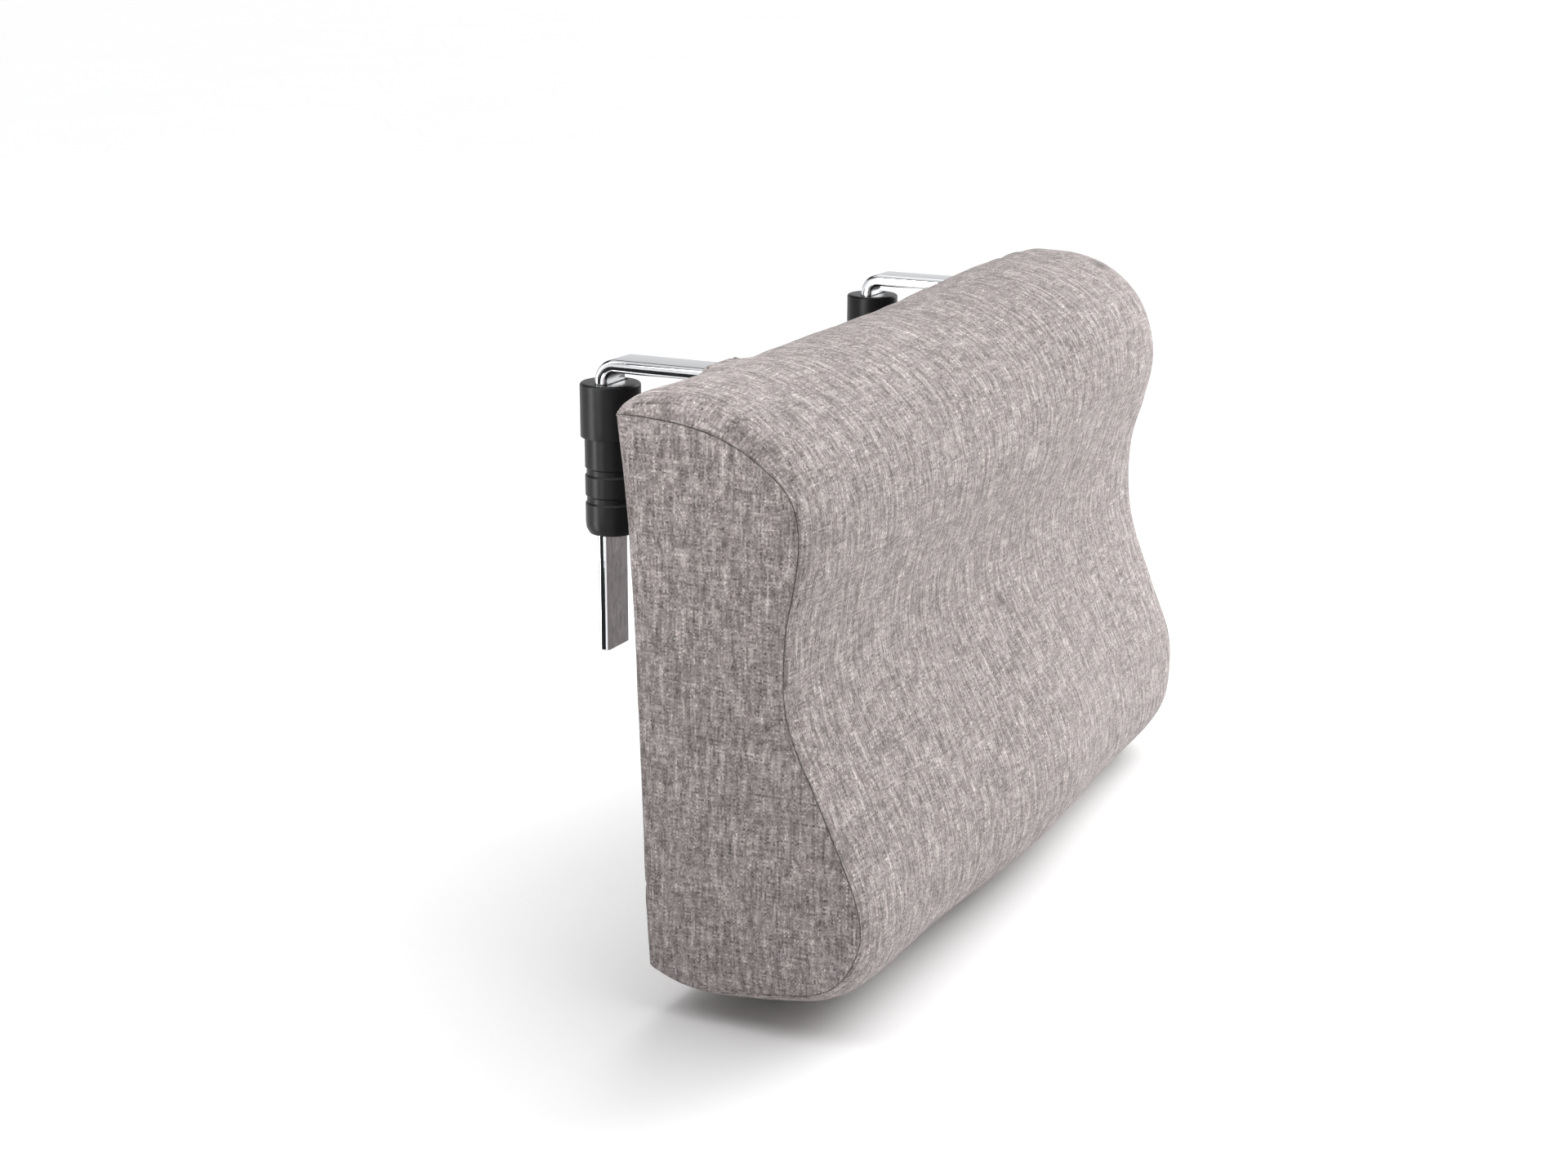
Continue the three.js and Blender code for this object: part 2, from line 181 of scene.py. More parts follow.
# ---------------------------------------------------------------- materials
class Nodes:
    """A short way to write a node tree."""

    def __init__(self, name):
        self.mat = bpy.data.materials.new(name)
        self.mat.use_nodes = True
        self.t = self.mat.node_tree
        self.bsdf = self.t.nodes["Principled BSDF"]

    def node(self, kind, **props):
        n = self.t.nodes.new(kind)
        for k, v in props.items():
            setattr(n, k, v)
        return n

    def put(self, socket, v):
        if isinstance(v, bpy.types.NodeSocket):
            self.t.links.new(v, socket)
        elif v is not None:
            socket.default_value = v

    def math(self, op, a, b=None, c=None, clamp=False):
        n = self.node("ShaderNodeMath", operation=op, use_clamp=clamp)
        for s, v in zip(n.inputs, (a, b, c)):
            if v is not None:
                self.put(s, v)
        return n.outputs[0]

    def mix(self, f, a, b, blend="MIX"):
        n = self.node("ShaderNodeMix", data_type="RGBA", blend_type=blend)
        self.put(n.inputs[0], f)
        for s, v in ((n.inputs[6], a), (n.inputs[7], b)):
            self.put(s, (*v, 1) if isinstance(v, tuple) and len(v) == 3 else v)
        return n.outputs[2]

    def noise(self, vector, scale, detail=2.0, rough=0.5, dims="3D", w=None):
        n = self.node("ShaderNodeTexNoise", noise_dimensions=dims)
        if vector is not None and dims != "1D":
            self.put(n.inputs["Vector"], vector)
        if w is not None:
            self.put(n.inputs["W"], w)
        n.inputs["Scale"].default_value = scale
        n.inputs["Detail"].default_value = detail
        n.inputs["Roughness"].default_value = rough
        return n.outputs["Fac"]

    def ramp(self, f, *stops):
        n = self.node("ShaderNodeValToRGB")
        self.put(n.inputs[0], f)
        e = n.color_ramp.elements
        while len(e) < len(stops):
            e.new(0.5)
        for el, (pos, col) in zip(e, stops):
            el.position = pos
            el.color = (col, col, col, 1) if isinstance(col, (int, float)) else (*col, 1)
        return n.outputs[0]

    def combine(self, x, y, z=0.0):
        n = self.node("ShaderNodeCombineXYZ")
        for s, v in zip(n.inputs, (x, y, z)):
            self.put(s, v)
        return n.outputs[0]

    def bump(self, height, strength, distance, normal=None):
        n = self.node("ShaderNodeBump")
        n.inputs["Strength"].default_value = strength
        n.inputs["Distance"].default_value = distance
        self.put(n.inputs["Height"], height)
        if normal is not None:
            self.put(n.inputs["Normal"], normal)
        return n.outputs["Normal"]

    def position(self):
        return self.node("ShaderNodeNewGeometry").outputs["Position"]

    def object_coords(self):
        return self.node("ShaderNodeTexCoord").outputs["Object"]

    def uv(self, name):
        n = self.node("ShaderNodeUVMap")
        n.uv_map = name
        return n.outputs["UV"]


def fabric_material(name="melange_fabric", pitch=0.86, seed=0.0, gain=1.0):
    """Plain weave of melange yarns with slubs. Its map is in metres: x across the streaks, y along them."""
    n = Nodes(name)
    x, y, _ = split(n, n.uv("cloth"))

    def wander(kx, ky, scale, amount, at):
        """How far a yarn strays from straight, in metres."""
        f = n.noise(n.combine(n.math("MULTIPLY", x, kx), n.math("MULTIPLY", y, ky), seed + at), scale, 2, 0.6)
        return n.math("MULTIPLY", n.math("SUBTRACT", f, 0.5), amount)

    k = 1000.0 / pitch
    U = n.math("MULTIPLY", n.math("ADD", x, n.math("ADD", wander(1.0, 0.35, 60, 0.0030, 0.0), wander(1.0, 0.8, 620, 0.00125, 7.0))), k)
    V = n.math("MULTIPLY", n.math("ADD", y, n.math("ADD", wander(0.35, 1.0, 60, 0.0032, 3.0), wander(0.8, 1.0, 620, 0.00125, 9.0))), k * 0.93)
    i = n.math("FLOOR", U)
    j = n.math("FLOOR", V)

    # tone and thickness of each yarn, changing along it: slubs and dyed flecks
    def yarn(index, along, length_mm, at, detail=1.5):
        return n.noise(n.combine(n.math("MULTIPLY", index, 0.731), n.math("MULTIPLY", along, 1000.0 / length_mm), seed + at), 1.0, detail, 0.55)

    a = n.math("ABSOLUTE", n.math("SINE", n.math("MULTIPLY", U, math.pi)))
    b = n.math("ABSOLUTE", n.math("SINE", n.math("MULTIPLY", V, math.pi)))
    zw = n.math("SINE", n.math("MULTIPLY", n.math("ADD", V, i), math.pi))
    zf = n.math("SINE", n.math("MULTIPLY", n.math("ADD", U, j), math.pi))
    thick_w = n.math("MULTIPLY", n.math("SUBTRACT", yarn(i, y, 7.0, 71.0), 0.42), 1.9)
    thick_f = n.math("MULTIPLY", n.math("SUBTRACT", yarn(j, x, 6.0, 79.0), 0.46), 1.7)
    hw = n.math("ADD", n.math("MULTIPLY", zw, 0.36), n.math("ADD", n.math("MULTIPLY", a, 0.55), thick_w))
    hf = n.math("ADD", n.math("MULTIPLY", zf, -0.36), n.math("ADD", n.math("MULTIPLY", b, 0.50), thick_f))
    top = n.math("MAXIMUM", hw, hf)
    is_warp = n.ramp(n.math("ADD", n.math("MULTIPLY", n.math("SUBTRACT", hw, hf), 1.3), 0.5), (0.2, 0.0), (0.8, 1.0))

    dark = (0.150 * gain, 0.128 * gain, 0.125 * gain)
    mid = (0.350 * gain, 0.306 * gain, 0.300 * gain)
    light = (0.640 * gain, 0.580 * gain, 0.572 * gain)
    warp_mix = n.math("ADD", n.math("MULTIPLY", yarn(i, y, 15.0, 11.0), 0.45), n.math("MULTIPLY", yarn(i, y, 3.4, 17.0), 0.55))
    weft_mix = n.math("ADD", n.math("MULTIPLY", yarn(j, x, 12.0, 23.0), 0.42), n.math("MULTIPLY", yarn(j, x, 3.0, 31.0), 0.58))
    warp_col = n.ramp(warp_mix, (0.37, dark), (0.50, mid), (0.65, light))
    weft_col = n.ramp(weft_mix, (0.36, dark), (0.51, mid), (0.68, light))
    col = n.mix(is_warp, weft_col, warp_col)
    # slub yarns that ride on top, in both directions
    slub_at = n.combine(n.math("MULTIPLY", i, 0.377), n.math("MULTIPLY", y, 1000.0 / 17.0), seed + 41.0)
    slub = n.ramp(n.noise(slub_at, 1.0, 1.0, 0.5), (0.58, 0.0), (0.72, 1.0))
    col = n.mix(n.math("MULTIPLY", slub, 0.45), col, light)
    slub2_at = n.combine(n.math("MULTIPLY", x, 1000.0 / 13.0), n.math("MULTIPLY", j, 0.377), seed + 47.0)
    slub2 = n.ramp(n.noise(slub2_at, 1.0, 1.0, 0.5), (0.62, 0.0), (0.76, 1.0))
    col = n.mix(n.math("MULTIPLY", slub2, 0.34), col, light)
    dk_at = n.combine(n.math("MULTIPLY", i, 0.291), n.math("MULTIPLY", y, 1000.0 / 12.0), seed + 53.0)
    dks = n.ramp(n.noise(dk_at, 1.0, 1.0, 0.5), (0.58, 0.0), (0.72, 1.0))
    col = n.mix(n.math("MULTIPLY", dks, 0.40), col, dark)
    # fibres break up every yarn, and the dye lies in soft clouds
    fleck = n.noise(n.combine(x, n.math("MULTIPLY", y, 0.8), seed + 83.0), 1150, 3, 0.65)
    col = n.mix(1.0, col, n.ramp(fleck, (0.30, 0.70), (0.70, 1.30)), "MULTIPLY")
    cloud = n.noise(n.combine(x, n.math("MULTIPLY", y, 0.6), seed + 5.0), 210, 3, 0.62)
    col = n.mix(1.0, col, n.ramp(cloud, (0.28, 0.75), (0.72, 1.25)), "MULTIPLY")
    bands = n.noise(n.combine(x, n.math("MULTIPLY", y, 0.13), seed + 95.0), 330, 2, 0.6)
    col = n.mix(1.0, col, n.ramp(bands, (0.30, 0.73), (0.70, 1.29)), "MULTIPLY")
    picks = n.noise(n.combine(n.math("MULTIPLY", x, 0.15), y, seed + 97.0), 330, 2, 0.6)
    col = n.mix(1.0, col, n.ramp(picks, (0.30, 0.86), (0.70, 1.15)), "MULTIPLY")
    # painted shade: darker between the yarns, where the weave lies lower
    col = n.mix(1.0, col, n.ramp(top, (0.0, 0.66), (0.5, 1.0)), "MULTIPLY")
    n.put(n.bsdf.inputs["Base Color"], col)
    n.put(n.bsdf.inputs["Roughness"], n.ramp(fleck, (0.3, 0.84), (0.7, 0.97)))
    n.bsdf.inputs["Specular IOR Level"].default_value = 0.2
    n.bsdf.inputs["Sheen Weight"].default_value = 0.20
    n.bsdf.inputs["Sheen Roughness"].default_value = 0.45
    n.bsdf.inputs["Sheen Tint"].default_value = (0.97, 0.94, 0.93, 1)
    fuzz = n.noise(n.combine(x, y, seed + 61.0), 2600, 2, 0.7)
    height = n.math("ADD", n.math("MULTIPLY", top, 0.85), n.math("ADD", n.math("MULTIPLY", slub, 0.45), n.math("MULTIPLY", fuzz, 0.5)))
    n.put(n.bsdf.inputs["Normal"], n.bump(height, 0.7, 0.00026))
    return n.mat


def chrome_material():
    n = Nodes("chrome_bar")
    p = n.object_coords()
    n.bsdf.inputs["Metallic"].default_value = 1.0
    streak = n.noise(n.combine(*[n.math("MULTIPLY", o, s) for o, s in zip(split(n, p), (1.0, 0.08, 0.08))]), 900, 3, 0.6)
    smudge = n.noise(p, 55, 3, 0.55)
    n.put(n.bsdf.inputs["Base Color"], n.mix(n.math("MULTIPLY", smudge, 0.5), (0.80, 0.81, 0.83), (0.70, 0.715, 0.74)))
    n.put(n.bsdf.inputs["Roughness"], n.math("ADD", n.math("MULTIPLY", streak, 0.05), n.math("MULTIPLY", smudge, 0.09)))
    n.put(n.bsdf.inputs["Normal"], n.bump(n.noise(p, 140, 2, 0.5), 0.04, 0.0004))
    return n.mat


def split(n, vector):
    s = n.node("ShaderNodeSeparateXYZ")
    n.put(s.inputs[0], vector)
    return s.outputs[0], s.outputs[1], s.outputs[2]


def plastic_material(name, colour, rough=0.42, grain=2400, bump=0.25, specular=0.5):
    n = Nodes(name)
    p = n.object_coords()
    spots = n.noise(p, 90, 4, 0.6)
    fine = n.noise(p, grain, 2, 0.6)
    wear = n.ramp(n.node("ShaderNodeNewGeometry").outputs["Pointiness"], (0.50, 0.0), (0.56, 1.0))
    base = n.mix(n.ramp(spots, (0.35, 0.0), (0.75, 1.0)), colour, tuple(c * 1.4 + 0.001 for c in colour))
    base = n.mix(n.math("MULTIPLY", wear, 0.3), base, tuple(c * 2.0 + 0.006 for c in colour))
    n.put(n.bsdf.inputs["Base Color"], base)
    n.put(n.bsdf.inputs["Roughness"], n.math("ADD", n.math("MULTIPLY", spots, 0.12), rough - 0.06))
    n.bsdf.inputs["Specular IOR Level"].default_value = specular
    n.put(n.bsdf.inputs["Normal"], n.bump(fine, bump, 0.00008))
    return n.mat


def metal_material(name, colour, rough=0.3, grain=(1.0, 1.0, 1.0)):
    n = Nodes(name)
    p = n.object_coords()
    n.bsdf.inputs["Metallic"].default_value = 1.0
    brushed = n.noise(n.combine(*[n.math("MULTIPLY", o, s) for o, s in zip(split(n, p), grain)]), 1500, 3, 0.6)
    blotch = n.noise(p, 160, 3, 0.6)
    n.put(n.bsdf.inputs["Base Color"], n.mix(blotch, colour, tuple(c * 0.78 for c in colour)))
    n.put(n.bsdf.inputs["Roughness"], n.math("ADD", n.math("MULTIPLY", brushed, 0.22), rough - 0.1))
    n.put(n.bsdf.inputs["Normal"], n.bump(brushed, 0.15, 0.00005))
    return n.mat


def plywood_material():
    n = Nodes("plywood")
    p = n.object_coords()
    x, y, z = split(n, p)
    warp = n.noise(n.combine(n.math("MULTIPLY", x, 0.12), y, z), 30, 4, 0.6)
    rings = n.math("SINE", n.math("ADD", n.math("MULTIPLY", z, 420), n.math("MULTIPLY", warp, 26)))
    face = n.ramp(n.math("ADD", n.math("MULTIPLY", rings, 0.25), 0.5), (0.2, (0.50, 0.35, 0.19)), (0.8, (0.66, 0.50, 0.30)))
    ply = n.ramp(n.math("FRACT", n.math("MULTIPLY", y, 480)), (0.46, 0.72), (0.54, 1.0))
    col = n.mix(1.0, face, ply, "MULTIPLY")
    pores = n.noise(n.combine(n.math("MULTIPLY", x, 0.06), y, z), 900, 2, 0.6)
    col = n.mix(n.ramp(pores, (0.58, 0.0), (0.72, 0.5)), col, (0.28, 0.18, 0.10))
    n.put(n.bsdf.inputs["Base Color"], col)
    n.bsdf.inputs["Roughness"].default_value = 0.72
    n.put(n.bsdf.inputs["Normal"], n.bump(pores, 0.3, 0.0002))
    return n.mat


def foam_material():
    n = Nodes("foam")
    p = n.object_coords()
    v = n.node("ShaderNodeTexVoronoi", feature="DISTANCE_TO_EDGE")
    n.put(v.inputs["Vector"], p)
    v.inputs["Scale"].default_value = 1100
    # painted shade: darker inside the pores, lighter on the cell walls
    pore_shade = n.ramp(v.outputs["Distance"], (0.0, 1.0), (0.25, 0.55))
    tone = n.mix(n.noise(p, 25, 3, 0.6), (0.80, 0.71, 0.47), (0.88, 0.80, 0.58))
    n.put(n.bsdf.inputs["Base Color"], n.mix(1.0, tone, pore_shade, "MULTIPLY"))
    n.bsdf.inputs["Roughness"].default_value = 0.95
    n.put(n.bsdf.inputs["Normal"], n.bump(v.outputs["Distance"], 0.6, 0.0003))
    return n.mat


def wadding_material():
    n = Nodes("wadding")
    p = n.object_coords()
    x, y, z = split(n, p)
    fibre = n.noise(n.combine(n.math("MULTIPLY", x, 0.25), y, z), 1300, 4, 0.7)
    clump = n.noise(p, 70, 3, 0.6)
    n.put(n.bsdf.inputs["Base Color"], n.mix(fibre, (0.80, 0.79, 0.77), (0.92, 0.915, 0.90)))
    n.bsdf.inputs["Roughness"].default_value = 0.97
    n.bsdf.inputs["Sheen Weight"].default_value = 0.4
    n.put(n.bsdf.inputs["Normal"], n.bump(n.math("ADD", fibre, clump), 0.6, 0.0006))
    return n.mat


def tape_material():
    """Woven zip tape: fine ribs along the zip, with painted shade in the grooves between them."""
    n = Nodes("zip_tape")
    x, _, z = split(n, n.object_coords())
    k = 1000.0 / 0.45
    U = n.math("MULTIPLY", x, k)
    V = n.math("MULTIPLY", z, k * 1.6)
    a = n.math("ABSOLUTE", n.math("SINE", n.math("MULTIPLY", n.math("ADD", U, n.math("MULTIPLY", V, 0.5)), math.pi)))
    b = n.math("ABSOLUTE", n.math("SINE", n.math("MULTIPLY", V, math.pi)))
    h = n.math("MULTIPLY", a, b)
    tone = n.noise(n.combine(x, z, 2.0), 120, 3, 0.6)
    col = n.mix(tone, (0.150, 0.140, 0.132), (0.205, 0.192, 0.182))
    # painted shade: the base colour is darker in the grooves between the ribs
    n.put(n.bsdf.inputs["Base Color"], n.mix(1.0, col, n.ramp(h, (0.0, 0.6), (0.6, 1.0)), "MULTIPLY"))
    n.bsdf.inputs["Roughness"].default_value = 0.85
    n.bsdf.inputs["Sheen Weight"].default_value = 0.15
    n.put(n.bsdf.inputs["Normal"], n.bump(h, 0.7, 0.00012))
    return n.mat


def thread_material():
    n = Nodes("thread")
    p = n.object_coords()
    w = n.noise(p, 5200, 2, 0.6)
    n.put(n.bsdf.inputs["Base Color"], n.mix(w, (0.20, 0.185, 0.175), (0.36, 0.34, 0.325)))
    n.bsdf.inputs["Roughness"].default_value = 0.7
    n.put(n.bsdf.inputs["Normal"], n.bump(w, 0.4, 0.00008))
    return n.mat


def floor_material():
    n = Nodes("floor")
    p = n.object_coords()
    t = n.noise(p, 3.0, 3, 0.5)
    n.put(n.bsdf.inputs["Base Color"], n.mix(t, (0.93, 0.93, 0.93), (0.95, 0.95, 0.95)))
    n.bsdf.inputs["Roughness"].default_value = 0.9
    n.bsdf.inputs["Specular IOR Level"].default_value = 0.15
    return n.mat


M = dict(
    fabric=fabric_material(gain=0.885),
    chrome=chrome_material(),
    black=plastic_material("black_plastic", (0.0055, 0.0055, 0.006), 0.36, specular=0.22),
    coil=plastic_material("zip_coil", (0.115, 0.108, 0.102), 0.34, 1800, 0.1),
    zinc=metal_material("zinc_fastener", (0.66, 0.66, 0.63), 0.36),
    nickel=metal_material("nickel", (0.62, 0.605, 0.58), 0.26, (0.1, 1.0, 1.0)),
    wood=plywood_material(),
    foam=foam_material(),
    wadding=wadding_material(),
    tape=tape_material(),
    thread=thread_material(),
)


def paint(ob, mat):
    ob.data.materials.clear()
    ob.data.materials.append(mat)


# ------------------------------------------------------- dimensions (as CAD)
SPACING = 290.0
BAR_W, BAR_T, BEND_R, ARM_Z = 20.0, 6.0, 10.0, 37.0
LEG_BOTTOM, INNER_BACK, INNER_BOTTOM = -100.0, -70.0, -64.0
SCREW_Z = (-2.0, -46.0)
COLLAR_R, COLLAR_H, SPIGOT_R, SPIGOT_H = 14.0, 25.0, 12.2, 45.0
HALF = 230.0
ZIP_S, ZIP_LEN = 211.0, 400.0
OUTLINE = np.array([
    [-55, 34], [-70, 35.8], [-86, 35], [-101, 31.5], [-114, 25.8], [-124.5, 18.3], [-132, 10],
    [-136.5, 0], [-138.8, -11], [-139, -22], [-137, -38], [-134, -52], [-132.3, -66],
    [-132, -80], [-134, -94], [-138.5, -108], [-145, -123], [-152, -138], [-159, -153],
    [-164.5, -167], [-167, -181], [-166.5, -194], [-163, -205], [-155.5, -214.5],
    [-144.5, -221.5], [-129, -225.5], [-112, -227.5], [-94, -227.8], [-79, -224.6], [-66, -216],
], float)
TOP_BACK, BOTTOM_BACK = OUTLINE[0], OUTLINE[-1]
BACK_LEN = float(np.linalg.norm(TOP_BACK - BOTTOM_BACK))
LEAN = math.atan2(TOP_BACK[0] - BOTTOM_BACK[0], TOP_BACK[1] - BOTTOM_BACK[1])


def catmull(points, per=16):
    """Dense centripetal spline through the points."""
    p = np.vstack([2 * points[0] - points[1], points, 2 * points[-1] - points[-2]])
    out = []
    for k in range(1, len(p) - 2):
        p0, p1, p2, p3 = p[k - 1:k + 3]
        t0 = 0.0
        t1 = t0 + np.linalg.norm(p1 - p0) ** 0.5
        t2 = t1 + np.linalg.norm(p2 - p1) ** 0.5
        t3 = t2 + np.linalg.norm(p3 - p2) ** 0.5
        for t in np.linspace(t1, t2, per, endpoint=False):
            a1 = (t1 - t) / (t1 - t0) * p0 + (t - t0) / (t1 - t0) * p1
            a2 = (t2 - t) / (t2 - t1) * p1 + (t - t1) / (t2 - t1) * p2
            a3 = (t3 - t) / (t3 - t2) * p2 + (t - t2) / (t3 - t2) * p3
            b1 = (t2 - t) / (t2 - t0) * a1 + (t - t0) / (t2 - t0) * a2
            b2 = (t3 - t) / (t3 - t1) * a2 + (t - t1) / (t3 - t1) * a3
            out.append((t2 - t) / (t2 - t1) * b1 + (t - t1) / (t2 - t1) * b2)
    out.append(points[-1])
    return np.array(out)


def along(poly, s):
    """Points at arc lengths s on a polyline."""
    seg = np.linalg.norm(np.diff(poly, axis=0), axis=1)
    cum = np.concatenate([[0], np.cumsum(seg)])
    return np.stack([np.interp(s, cum, poly[:, 0]), np.interp(s, cum, poly[:, 1])], 1), cum[-1]


def spread(a, b, step):
    n = max(1, int(round((b - a) / step)))
    return list(np.linspace(a, b, n + 1))


def inset_outline(poly, d):
    """A closed (y, z) outline moved inwards by d."""
    n = len(poly)
    nxt, prv = np.roll(poly, -1, 0), np.roll(poly, 1, 0)
    area = np.sum(poly[:, 0] * nxt[:, 1] - nxt[:, 0] * poly[:, 1])
    side = 1 if area > 0 else -1
    u = poly - prv
    v = nxt - poly
    u /= np.linalg.norm(u, axis=1, keepdims=True) + 1e-12
    v /= np.linalg.norm(v, axis=1, keepdims=True) + 1e-12
    nu = np.stack([-u[:, 1], u[:, 0]], 1) * side
    nv = np.stack([-v[:, 1], v[:, 0]], 1) * side
    h = nu + nv
    h /= np.linalg.norm(h, axis=1, keepdims=True) + 1e-12
    k = d / np.maximum(0.5, (h * nu).sum(1))
    return poly + h * k[:, None]


# ------------------------------------------------------------------ cushion
# One closed net of the sewn cover is blown up over the foam by the cloth
# solver, then cut apart at its seams into the panels of the cover.
REST_IN = 2.2                  # the net starts this much inside the finished size
SEAM_X = HALF - 0.6

# How the sewn cushion differs from its nominal profile, at each point of OUTLINE:
# how far its left and right end seams pull in, and how far it swells near the left arm, in
# the middle and near the right arm.
PULL_IN = [3.0, 5.6, 6.8, 7.0, 6.8, 6.0, 4.2, 2.2, 2.6, 3.0, 3.2, 3.0, 2.2, 2.0, 2.0, 0.8, 0.2, 0.4, 0.6, 0.8, 0.2,
           3.2, 5.4, 6.2, 8.4, 9.3, 8.6, 5.6, 4.4, 0.4]
PULL_IN_R = [1.2, 1.4, 1.6, 1.8, 2.0, 2.2, 2.0, 1.6, 1.8, 2.8, 4.2, 5.2, 5.6, 5.8, 6.8, 8.4, 9.6, 10.6, 11.0, 11.2, 11.4,
             11.4, 11.0, 9.4, 7.4, 5.4, 4.4, 4.0, 3.6, 0.4]
SWELL_L = [0.8, 2.6, 3.4, 3.0, 2.2, 1.5, 0.8, 0.6, 0.6, 0.4, 0.0, -0.8, -1.4, -1.4, -1.0, 0.0, 0.6, 0.8, 1.0, 1.2, 1.2,
           1.4, 1.8, 2.4, 2.5, 2.0, 2.0, 1.5, 1.0, 0.0]
SWELL_M = [1.4, 3.6, 4.4, 4.2, 3.4, 2.6, 2.0, 1.5, 1.2, 0.6, -0.6, -2.4, -3.8, -4.0, -3.2, -1.6, -0.2, 0.8, 1.4, 2.0, 2.6,
           4.0, 6.0, 7.6, 8.6, 8.2, 7.2, 5.2, 3.0, 0.0]
SWELL_R = [4.0, 8.0, 9.4, 11.0, 12.0, 11.0, 8.6, 6.4, 4.2, 2.0, -0.8, -2.8, -4.8, -5.8, -6.4, -7.0, -7.4, -8.0, -8.4, -9.0, -8.6,
           -6.0, -1.6, 3.4, 6.4, 8.0, 8.2, 6.2, 4.0, 0.0]

profile = catmull(OUTLINE)
cum = np.concatenate([[0], np.cumsum(np.linalg.norm(np.diff(profile, axis=0), axis=1))])
L = float(cum[-1])
outline_s = cum[np.arange(len(OUTLINE)) * 16]
dense_s = np.linspace(0, L, 700)
dense_p, _ = along(profile, dense_s)
dense_n = np.gradient(dense_p, axis=0)
dense_n /= np.linalg.norm(dense_n, axis=1, keepdims=True)
dense_n = np.stack([dense_n[:, 1], -dense_n[:, 0]], 1)          # outwards: up at the top, forwards in front


def table_along(values):
    """A value per OUTLINE point as a smooth curve over the dense arc lengths."""
    v = np.interp(dense_s, outline_s, values)
    k = np.hanning(31)
    return np.convolve(np.pad(v, 15, mode="edge"), k / k.sum(), mode="valid")


TABLES = [table_along(t) for t in (PULL_IN, PULL_IN_R, SWELL_L, SWELL_M, SWELL_R)]


def swell_at(s, x):
    """Finished surface over the nominal profile at arc length s and width x, both arrays of one shape."""
    pull_l, pull_r, left, mid, right = (np.interp(s, dense_s, t) for t in TABLES)
    wl = smoothstep(-x / 150.0)
    wr = smoothstep(x / 150.0)
    b = left * wl + right * wr + mid * (1 - wl - wr)
    b = b + (2.4 + 2.0 * wr) * (1 - np.exp(-s / 3.0)) * np.exp(-s / 42.0)      # the top turns over quickly behind its seam
    reach = np.where(s < 55, 5.0, np.where(s > 90, 13.0, 5.0 + 8.0 * (s - 55) / 35.0))
    edge = 1 - np.exp(-np.clip(SEAM_X - np.abs(x), 0, None) / reach)
    pull = np.where(x > 0, pull_r, pull_l)
    return -pull * (1 - edge) + b * edge


s_rows = [0.0, 1.5, 4.4] + spread(9.0, L - 9.0, 4.9) + [L - 4.4, L - 1.5, L]
arm_off = [-34, -29, -24, -20, -16.5, -14, -12.4, -11.2, -10.2, -7, -3.5, 0, 3.5, 7, 10.2, 11.2, 12.4, 14, 16.5, 20, 24, 29, 34]
xa = SPACING / 2
x_cols = ([-SEAM_X, -SEAM_X + 1.5, -SEAM_X + 4.4] + spread(-SEAM_X + 9, -xa - 39, 4.9) + [-xa + o for o in arm_off]
          + spread(-xa + 39, xa - 39, 4.95) + [xa + o for o in arm_off] + spread(xa + 39, SEAM_X - 9, 4.9)
          + [SEAM_X - 4.4, SEAM_X - 1.5, SEAM_X])
x_cols = np.array(x_cols)
s_rows = np.array(s_rows)
NX, NS = len(x_cols), len(s_rows)
row_p, _ = along(profile, s_rows)
row_n = np.stack([np.interp(s_rows, dense_s, dense_n[:, k]) for k in (0, 1)], 1)
row_n[0] = (0.15, 0.99)
row_n[-1] = (0.1, -0.99)

# back rows run down the back line, in its own inset position
b0, b1 = TOP_BACK, BOTTOM_BACK
LB = BACK_LEN
back_dir = (b1 - b0) / LB
zip_v = ZIP_S
v_rows = ([1.5, 4.4] + spread(9.0, zip_v - 16, 4.9) + [zip_v - 12, zip_v - 9.3, zip_v - 7.0, zip_v + 7.0, zip_v + 9.3, zip_v + 12]
          + spread(zip_v + 16, LB - 9.0, 4.9) + [LB - 4.4, LB - 1.5])
v_rows = np.array(v_rows)
NV = len(v_rows)
ZIP_ROW = int(np.argmin(abs(v_rows - (zip_v - 7.0))))      # row above the opening; the next is below it

verts, uvs_face = [], []
main_id = np.zeros((NS, NX), int)
for r in range(NS):
    rise = swell_at(np.full(NX, s_rows[r]), x_cols)
    for c in range(NX):
        main_id[r, c] = len(verts)
        verts.append((x_cols[c], *(row_p[r] + row_n[r] * rise[c])))
top_seam, bottom_seam = [np.array(verts)[main_id[k], 1:] for k in (0, -1)]
back_id = np.zeros((NV + 2, NX), int)
back_id[0] = main_id[0]
back_id[-1] = main_id[-1]
v_all = np.concatenate([[0.0], v_rows, [LB]])
taper = smoothstep((abs(x_cols) - 203.0) / 10.0)
for r in range(1, NV + 1):
    for c in range(NX):
        v = v_all[r]
        if r - 1 == ZIP_ROW:
            v = v + taper[c] * 6.75
        elif r - 1 == ZIP_ROW + 1:
            v = v - taper[c] * 6.75
        elif r - 1 in (ZIP_ROW - 1, ZIP_ROW + 2):
            v = v + taper[c] * 5.0 * (1 if r - 1 < ZIP_ROW else -1)
        elif r - 1 in (ZIP_ROW - 2, ZIP_ROW + 3):
            v = v + taper[c] * 2.6 * (1 if r - 1 < ZIP_ROW else -1)
        q = b0 + back_dir * v
        q = q + (top_seam[c] - b0) * max(0.0, 1 - v / 46.0) ** 2 + (bottom_seam[c] - b1) * max(0.0, 1 - (LB - v) / 30.0) ** 2
        back_id[r, c] = len(verts)
        verts.append((x_cols[c], q[0], q[1]))

# faces with the panel they belong to and their flat-cloth coordinates
MAIN, LEFT, RIGHT, UPPER, LOWER, OPENING = range(6)
faces, panel, face_uv = [], [], []


